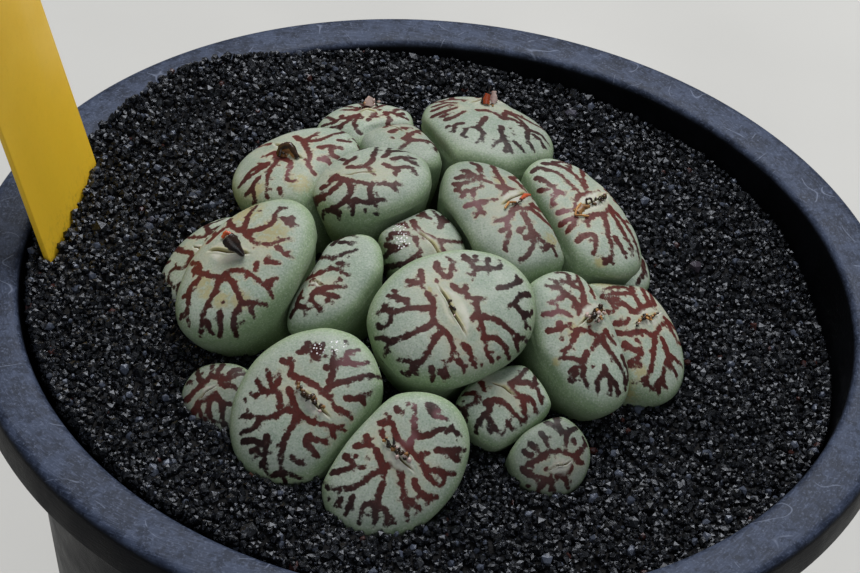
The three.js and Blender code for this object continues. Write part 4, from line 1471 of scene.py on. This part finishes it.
def round_corners(outline, sizes, steps=5):
    """A closed outline with each corner rounded by its own size."""
    rounded = []
    count = len(outline)
    for index, (corner, size) in enumerate(zip(outline, sizes)):
        corner = np.array(corner, float)
        before = np.array(outline[index - 1], float)
        after = np.array(outline[(index + 1) % count], float)
        if size == 0.0:
            rounded.append(corner)
            continue
        start, end = [
            corner + unit(other - corner) * min(size, np.linalg.norm(other - corner) * CORNER_SHARE)
            for other in (before, after)
        ]
        for share in np.linspace(0.0, 1.0, steps):
            rounded.append((1 - share) ** 2 * start + 2 * share * (1 - share) * corner + share ** 2 * end)
    return np.array(rounded)


def tube_faces(index, start, end):
    """The faces round a tube of points in rows, with a fan at each end to the points start and end."""
    after = np.roll(index, -1, axis=1)
    faces = np.stack([index[:-1], after[:-1], after[1:], index[1:]], axis=-1).reshape(-1, 4).tolist()
    faces += [[int(b), int(a), start] for a, b in zip(index[0], after[0])]
    faces += [[int(a), int(b), end] for a, b in zip(index[-1], after[-1])]
    return faces


def lathe(outline, segments):
    """A turned solid from an outline of radius and height that starts and ends on the axis."""
    turns = np.linspace(0.0, 2.0 * math.pi, segments, endpoint=False)
    inner = outline[1:-1]
    rings = len(inner)
    points = [
        np.stack([np.cos(turns) * radius, np.sin(turns) * radius, np.full(segments, height)], axis=1)
        for radius, height in inner
    ]
    points = np.vstack(points + [[[0.0, 0.0, outline[0][1]]], [[0.0, 0.0, outline[-1][1]]]])
    index = np.arange(rings * segments).reshape(rings, segments)
    return points, tube_faces(index, index.size, index.size + 1)


def pot_outline():
    """Half of the pot's section, as radius, height and how much each corner is rounded."""
    plate = RIM_TOP - WALL
    skirt = RIM_TOP - SKIRT_DROP
    slope = (BODY_TOP_RADIUS - FOOT_RADIUS) / plate
    ledge = skirt - LEDGE_DROP
    corners = [
        (0.0, 0.0, 0.0),
        (PAD_RADIUS, 0.0, 0.4),
        (PAD_RADIUS + 1.5, FLOOR_RAISED, 0.4),
        (FOOT_RADIUS - 7.0, FLOOR_RAISED, 0.5),
        (FOOT_RADIUS - 5.5, 0.0, 0.5),
        (FOOT_RADIUS - 1.0, 0.0, 1.6),
        (FOOT_RADIUS + slope * 1.5, 1.5, 0.8),
        (FOOT_RADIUS + slope * (ledge - 0.6), ledge - 0.6, 0.3),
        (FOOT_RADIUS + slope * ledge + 0.25, ledge, 0.25),
        (BODY_TOP_RADIUS + 0.15, plate, 0.6),
        (RIM_RADIUS - WALL, plate, 0.5),
        (RIM_RADIUS - WALL, skirt, 0.45),
        (RIM_RADIUS - 0.1, skirt, 0.45),
        (RIM_RADIUS, RIM_TOP, 1.1),
        (RIM_RADIUS - RIM_BAND, RIM_TOP, 1.1),
        (INNER_FOOT_RADIUS, FLOOR_TOP, 2.4),
        (PAD_RADIUS + 1.8, FLOOR_TOP, 0.4),
        (PAD_RADIUS + 0.3, WALL, 0.4),
        (0.0, WALL, 0.0),
    ]
    return round_corners([corner[:2] for corner in corners], [corner[2] for corner in corners])


def apply_modifiers(piece):
    depsgraph = bpy.context.evaluated_depsgraph_get()
    mesh = bpy.data.meshes.new_from_object(piece.evaluated_get(depsgraph))
    piece.modifiers.clear()
    piece.data = mesh


def smooth_below(piece, degrees):
    """Smooth shading, with edges sharper than an angle kept sharp."""
    piece.data.polygons.foreach_set("use_smooth", [True] * len(piece.data.polygons))
    piece.data.set_sharp_from_angle(angle=math.radians(degrees))


def drain_cutters():
    """Round bars where the drain holes go."""
    cutters = bmesh.new()
    for i in range(DRAIN_HOLES):
        angle = i / DRAIN_HOLES * 2.0 * math.pi
        middle = Vector((math.cos(angle), math.sin(angle), 0.0)) * DRAIN_RING_RADIUS * MM
        bmesh.ops.create_cone(
            cutters,
            cap_ends=True,
            segments=DRAIN_SEGMENTS,
            radius1=DRAIN_RADIUS * MM,
            radius2=DRAIN_RADIUS * MM,
            depth=DRAIN_CUT * MM,
            matrix=Matrix.Translation(middle),
        )
    return mesh_from("drain_cutters", cutters)


def make_pot(material):
    points, faces = lathe(pot_outline(), POT_SEGMENTS)
    pot = new_mesh("pot_shell", points * MM, faces)
    cutter = drain_cutters()
    cut = pot.modifiers.new("drain", "BOOLEAN")
    cut.object = cutter
    cut.operation = "DIFFERENCE"
    cut.solver = "MANIFOLD"
    apply_modifiers(pot)
    bpy.data.objects.remove(cutter)
    smooth_below(pot, POT_SHARP_ANGLE)
    dress(pot, material)
    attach(pot, "root")
    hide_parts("pot")


def label_matrix():
    """Where the label stands. In its own frame its width lies along X, its length along Y."""
    turn = Matrix.Rotation(math.radians(LABEL_BEARING), 4, "Z")
    lean = Matrix.Rotation(math.radians(90.0 - LABEL_LEAN), 4, "X")
    return Matrix.Translation((*LABEL_PLACE, 0.0)) @ turn @ lean


def label_outline():
    """The label's face from its point in the soil to its square top, with its corners rounded."""
    half = LABEL_WIDTH / 2
    foot = -LABEL_BURIED
    side = [(LABEL_TIP, foot), (half, foot + LABEL_POINT), (half, foot + LABEL_LENGTH)]
    corners = side + [(-across, along) for across, along in reversed(side)]
    return round_corners(corners, LABEL_ROUNDING + LABEL_ROUNDING[::-1], LABEL_CORNER_STEPS)


def make_label(material):
    outline = label_outline()
    shaped = bmesh.new()
    rim = [shaped.verts.new((x, y, -LABEL_THICKNESS / 2)) for x, y in outline]
    plate = shaped.faces.new(rim)
    raised = bmesh.ops.extrude_face_region(shaped, geom=[plate])["geom"]
    lifted = [part for part in raised if isinstance(part, bmesh.types.BMVert)]
    bmesh.ops.translate(shaped, vec=(0.0, 0.0, LABEL_THICKNESS), verts=lifted)
    bmesh.ops.recalc_face_normals(shaped, faces=shaped.faces)
    corners = [edge for edge in shaped.edges if edge.calc_face_angle() > LABEL_CORNER_ANGLE]
    bmesh.ops.bevel(shaped, geom=corners, offset=LABEL_BEVEL, segments=3, affect="EDGES", profile=0.5)
    matrix = label_matrix()
    for vert in shaped.verts:
        vert.co = Vector(to_metres(matrix @ vert.co))
    label = mesh_from("label_strip", shaped)
    smooth_below(label, LABEL_SHARP_ANGLE)
    dress(label, material)
    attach(label, "root")
    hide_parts("plant_label")


def cad_tree(node):
    """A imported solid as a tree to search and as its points, in plant millimetres."""
    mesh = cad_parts[node].data
    points = to_plant([vertex.co for vertex in mesh.vertices])
    return surface_tree(points, [list(polygon.vertices) for polygon in mesh.polygons]), points


def grain_spots(random):
    """Places for the grains, in jittered rows over the soil, with each grain's height over it."""
    spots = []
    columns = np.arange(-GRAIN_FIELD_RADIUS, GRAIN_FIELD_RADIUS, GRAIN_SPACING)
    rows = np.arange(-GRAIN_FIELD_RADIUS, GRAIN_FIELD_RADIUS, GRAIN_SPACING * math.sqrt(3.0) / 2)
    for lift, spread, share in GRAIN_LAYERS:
        start = random.uniform(-LAYER_STRAY, LAYER_STRAY, size=2)
        for index, y in enumerate(rows):
            x = columns + (index % 2) * GRAIN_SPACING / 2
            row = np.stack([x + start[0], np.full(len(x), y + start[1])], axis=1)
            row += random.uniform(-GRAIN_STRAY, GRAIN_STRAY, size=row.shape)
            row = row[random.random(len(row)) < share]
            inside = np.linalg.norm(row, axis=1) < GRAIN_FIELD_RADIUS
            lifts = lift + spread * random.uniform(-1.0, 1.0, size=len(row))
            spots += list(np.column_stack([row, lifts])[inside])
    count = int(2.0 * math.pi * GRAIN_FIELD_RADIUS / GRAIN_SPACING)
    for lift in WALL_LIFTS:
        stray = random.uniform(-WALL_STRAY_ROUND, WALL_STRAY_ROUND, size=count)
        turns = (np.arange(count) + stray) * 2.0 * math.pi / count
        reach = GRAIN_FIELD_RADIUS - random.uniform(0.0, WALL_STRAY_IN, size=count)
        lifts = lift + random.uniform(-WALL_STRAY_UP, WALL_STRAY_UP, size=count)
        spots += list(np.column_stack([reach * np.cos(turns), reach * np.sin(turns), lifts]))
    return np.array(spots)


def ground_under(soil, x, y):
    """The soil's height under a place, and past the soil's edge its height at the edge."""
    inward = min(1.0, SOIL_EDGE_RADIUS / math.hypot(x, y))
    hit = soil.ray_cast(Vector((x * inward, y * inward, GROUND_SIGHT)), Vector((0.0, 0.0, -1.0)))[0]
    return hit.z if hit else None


def wall_radius(height):
    """The radius of the pot's inner wall at a height."""
    return INNER_TOP_RADIUS + (INNER_TOP_RADIUS - INNER_FOOT_RADIUS) * height / (RIM_TOP - FLOOR_TOP)


def seated_grains(random):
    """The grains' middles and sizes, clear of the heads, the label and the pot's wall."""
    soil, _ = cad_tree("soil")
    heads = []
    for number in HEADS:
        tree, points = cad_tree("head_%02d" % number)
        heads.append((tree, points.min(axis=0) - HEAD_MARGIN, points.max(axis=0) + HEAD_MARGIN))
    away_from_label = label_matrix().inverted()
    places, sizes = [], []
    for x, y, lift in grain_spots(random):
        size = GRAIN_RADIUS * math.exp(random.normal() * GRAIN_SIZE_SPREAD)
        ground = ground_under(soil, x, y)
        if ground is None or ground < LOWEST_GROUND:
            continue
        inward = min(1.0, (wall_radius(ground) - WALL_CLEARANCE * size) / math.hypot(x, y))
        place = Vector((x * inward, y * inward, ground + lift))
        if near_label(away_from_label @ place, size):
            continue
        if any(near_head(tree, low, high, place, size) for tree, low, high in heads):
            continue
        places.append(place)
        sizes.append(size)
    return np.array(places), np.array(sizes)


def near_label(place, size):
    """Whether a grain would touch the label, for a place in the label's own frame."""
    beside = abs(place.x) < LABEL_WIDTH / 2 + LABEL_SIDE_CLEARANCE
    return beside and abs(place.z) < LABEL_THICKNESS / 2 + LABEL_CLEARANCE * size


def near_head(tree, low, high, place, size):
    """Whether a grain would lie in a head or too close to it."""
    if any(place[i] < low[i] or place[i] > high[i] for i in range(3)):
        return False
    spot, normal, _, distance = tree.find_nearest(place)
    return (place - spot).dot(normal) < 0.0 or distance < HEAD_CLEARANCE * size


def icosahedron():
    """Twelve corners at a distance of 1 from the middle, and the twenty triangles between them."""
    long = (1.0 + math.sqrt(5.0)) / 2.0
    corners = []
    for one in (-1.0, 1.0):
        for other in (-long, long):
            corners += [(0.0, one, other), (one, other, 0.0), (other, 0.0, one)]
    corners = unit(np.array(corners))
    gaps = np.linalg.norm(corners[:, None] - corners[None, :], axis=2)
    # Neighbours are 1.05 apart, and other corners 1.7 or more
    joined = (gaps > 0.1) & (gaps < 1.2)
    faces = []
    for a, b, c in itertools.combinations(range(len(corners)), 3):
        if joined[a, b] and joined[b, c] and joined[a, c]:
            outward = np.cross(corners[b] - corners[a], corners[c] - corners[a]) @ corners[a] > 0
            faces.append((a, b, c) if outward else (a, c, b))
    return corners, np.array(faces)


def random_turns(count, random):
    """Random rotations, as matrices."""
    w, x, y, z = unit(random.normal(size=(count, 4))).T
    rows = [
        [1 - 2 * (y * y + z * z), 2 * (x * y - w * z), 2 * (x * z + w * y)],
        [2 * (x * y + w * z), 1 - 2 * (x * x + z * z), 2 * (y * z - w * x)],
        [2 * (x * z - w * y), 2 * (y * z + w * x), 1 - 2 * (x * x + y * y)],
    ]
    return np.moveaxis(np.array(rows), 2, 0)


def make_grit(material):
    random = np.random.default_rng(GRIT_SEED)
    places, sizes = seated_grains(random)
    corners, faces = icosahedron()
    for name, low, high in GRIT_STRIPS:
        chosen = (places[:, 1] >= low) & (places[:, 1] < high)
        count = int(chosen.sum())
        shapes = corners[None] * random.uniform(*GRAIN_STRETCH, size=(count, 1, 3))
        shapes = shapes * random.uniform(*GRAIN_CORNERS, size=(count, len(corners), 1))
        shapes = np.einsum("nij,nkj->nki", random_turns(count, random), shapes)
        points = places[chosen][:, None] + shapes * sizes[chosen][:, None, None]
        all_faces = faces[None] + len(corners) * np.arange(count)[:, None, None]
        piece = new_mesh(name, to_metres(points.reshape(-1, 3)), all_faces.reshape(-1, 3), smooth=False)
        set_attribute(piece, "tone", np.repeat(random.random(count), len(corners)))
        dress(piece, material)
        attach(piece, "root")


# Shapes of the dried flowers


def remains_route(skin, text):
    """The route through the pixels: those marked ^ lie at the depth between their neighbours on the skin."""
    marks = text.split()
    pixels = [tuple(float(number) for number in mark.rstrip("^").split(",")) for mark in marks]
    rays = [pixel_ray(pixel) for pixel in pixels]
    grounded = [index for index, mark in enumerate(marks) if not mark.endswith("^")] or [0]
    grounds = [(skin.at(pixels[index]) - CAMERA) @ -BACK for index in grounded]
    depths = np.interp(np.arange(len(marks)), grounded, grounds) - REMAINS_LIFT
    return np.array([CAMERA + ray * depth / (ray @ -BACK) for ray, depth in zip(rays, depths)])


def spread_evenly(places, count):
    """A smooth route through the places, as evenly spaced points."""
    knots = np.linspace(0.0, 1.0, len(places))
    at = np.linspace(0.0, 1.0, count)
    curve = np.zeros((count, 3))
    total = np.zeros(count)
    for knot, place in zip(knots, places):
        weight = np.exp(-(((at - knot) * len(places)) ** 2) * ROUTE_SHARPNESS)
        curve += weight[:, None] * place
        total += weight
    curve /= total[:, None]
    ends = np.array([places[0], places[-1]])
    pull = np.stack([(1.0 - at) ** ROUTE_END_EXPONENT, at ** ROUTE_END_EXPONENT], axis=1)
    return curve + pull @ (ends - curve[[0, -1]])


def widths_at(widths, count):
    """Widths at even steps along the way, between those given."""
    return np.interp(np.linspace(0.0, 1.0, count), np.linspace(0.0, 1.0, len(widths)), widths)


def make_scale(route, widths, thickness, cup, ragged, random):
    """A dry, cupped scale along a route: points, faces and how near each point is to the scale's edge."""
    axis = spread_evenly(route, SCALE_STATIONS)
    along = np.gradient(axis, axis=0)
    facing = unit(BACK + np.array([0.0, 0.0, SCALE_UPTURN]))
    sides = unit(np.cross(along, facing))
    ups = unit(np.cross(sides, along))
    wide = widths_at(widths, SCALE_STATIONS) * (1.0 + ragged * random.normal(size=SCALE_STATIONS))
    points, edges = [], []
    turns = np.linspace(0.0, 2.0 * math.pi, SCALE_SIDES, endpoint=False)
    for station in range(SCALE_STATIONS):
        crumple = 1.0 + SCALE_CRUMPLE * ragged * random.normal(size=SCALE_SIDES)
        across = 0.5 * wide[station] * np.cos(turns) * crumple
        up = 0.5 * thickness * np.sin(turns) - cup * wide[station] * np.cos(turns) ** 2
        points.append(axis[station] + np.outer(across, sides[station]) + np.outer(up, ups[station]))
        edges.append(np.abs(np.cos(turns)) ** 3)
    points = np.vstack(points + [axis[:1], axis[-1:]])
    edges = np.concatenate(edges + [[1.0, 1.0]])
    index = np.arange(SCALE_STATIONS * SCALE_SIDES).reshape(SCALE_STATIONS, SCALE_SIDES)
    return points, tube_faces(index, index.size, index.size + 1), edges


def make_crumbs(route, widths, random):
    """A row of crumbs along a route: points, faces and one random value for each crumb's points."""
    corners, triangles = icosahedron()
    length = np.linalg.norm(np.diff(route, axis=0), axis=1).sum()
    count = int(length / (CRUMB_SPACING * np.mean(widths)))
    points, faces, picks = [], [], []
    for place, size in zip(spread_evenly(route, count), widths_at(widths, count)):
        shape = corners * random.uniform(*CRUMB_STRETCH, size=3)
        shape = shape * random.uniform(*CRUMB_CORNERS, size=(len(corners), 1))
        shape = shape @ random_turns(1, random)[0].T
        faces += (triangles + len(corners) * len(points)).tolist()
        place = place + random.normal(size=3) * CRUMB_STRAY * size + [0.0, 0.0, CRUMB_LIFT * size]
        points.append(place + shape * 0.5 * size)
        picks += [random.random()] * len(corners)
    return np.vstack(points), faces, np.array(picks)


def crumb_tones(picks, tone):
    """A tone for every crumb by its random value: a few whitish as painted glints, many dark and the others
    about as given.
    """
    darker = np.where(picks < DARK_CRUMBS, DARK_TONE, 2.0 * tone * picks)
    return np.where(picks < GLINT_CRUMBS, GLINT_TONE, darker)


def make_remains(number, skin, material):
    random = np.random.default_rng(REMAINS_SEED + number)
    points, faces, edges, tones = [], [], [], []
    for form, pixels, widths, thickness, tone in REMAINS[number]:
        route = remains_route(skin, pixels)
        if form == "crumbs":
            more, more_faces, picks = make_crumbs(route, widths, random)
            edge = np.zeros(len(more))
            tones.append(crumb_tones(picks, tone))
        else:
            more, more_faces, edge = make_scale(route, widths, thickness, *SCALE_FORMS[form], random)
            tones.append(np.full(len(more), tone))
        start = sum(len(part) for part in points)
        faces += [[start + corner for corner in face] for face in more_faces]
        points.append(more)
        edges.append(edge)
    piece = new_mesh("remains_%02d" % number, to_metres(np.vstack(points)), faces)
    set_attribute(piece, "edge", np.concatenate(edges))
    set_attribute(piece, "tone", np.concatenate(tones))
    dress(piece, material)
    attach(piece, "root")
    node = "dried_flower_%02d" % number
    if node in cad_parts:
        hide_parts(node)


def make_kept_nodes():
    """The soil's body and the rootstock stay as packed, with finer materials."""
    dress(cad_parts["soil"], soil_look())
    dress(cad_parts["rootstock"], bark_look())


# Stage


def add_light(name, place, size, energy, color):
    light = bpy.data.lights.new(name, "AREA")
    light.shape = "DISK"
    light.size = size
    light.energy = energy
    light.color = color
    lamp = add_object(name, light)
    lamp.location = place
    lamp.rotation_euler = (Vector(LIGHT_TARGET) - Vector(place)).to_track_quat("-Z", "Y").to_euler()


def make_floor():
    corners = [(-1.0, -1.0, 0.0), (1.0, -1.0, 0.0), (1.0, 1.0, 0.0), (-1.0, 1.0, 0.0)]
    floor = new_mesh("floor", np.array(corners) * FLOOR_HALF, [[0, 1, 2, 3]])
    look = Look("floor_finish", Specular_IOR_Level=0.2)
    color = look.mix(look.ramp(look.noise(60.0, 2.0), 0.3, 0.7), (200, 200, 198), (206, 206, 204))
    dress(floor, look.finish(color, look.ramp(look.noise(3.0), 0.3, 0.7, 0.7, 0.8)))


def make_stage():
    make_floor()
    for name, light in LIGHTS.items():
        add_light(name, **light)
    world = bpy.data.worlds.new("studio")
    world.use_nodes = True
    background = world.node_tree.nodes["Background"]
    background.inputs["Color"].default_value = SKY_COLOR
    background.inputs["Strength"].default_value = SKY_STRENGTH
    bpy.context.scene.world = world
    bpy.context.scene.view_settings.view_transform = "Standard"


def make_camera():
    camera = bpy.data.cameras.new("camera")
    camera.sensor_width = SENSOR_WIDTH
    camera.lens = FOCAL_PIXELS * SENSOR_WIDTH / PHOTO_WIDTH
    camera.clip_start = CLIP_START
    holder = add_object("camera", camera)
    rows = np.column_stack([RIGHT, UP, BACK, to_metres(CAMERA)])
    holder.matrix_world = Matrix([*rows.tolist(), [0.0, 0.0, 0.0, 1.0]])
    bpy.context.scene.camera = holder


make_camera()
make_stage()
make_kept_nodes()
make_pot(pot_look())
make_label(label_look())
head_skins = make_heads(skin_look())
make_grit(grit_look())
flower_material = flower_look()
for flower_number in REMAINS:
    make_remains(flower_number, head_skins[flower_number], flower_material)
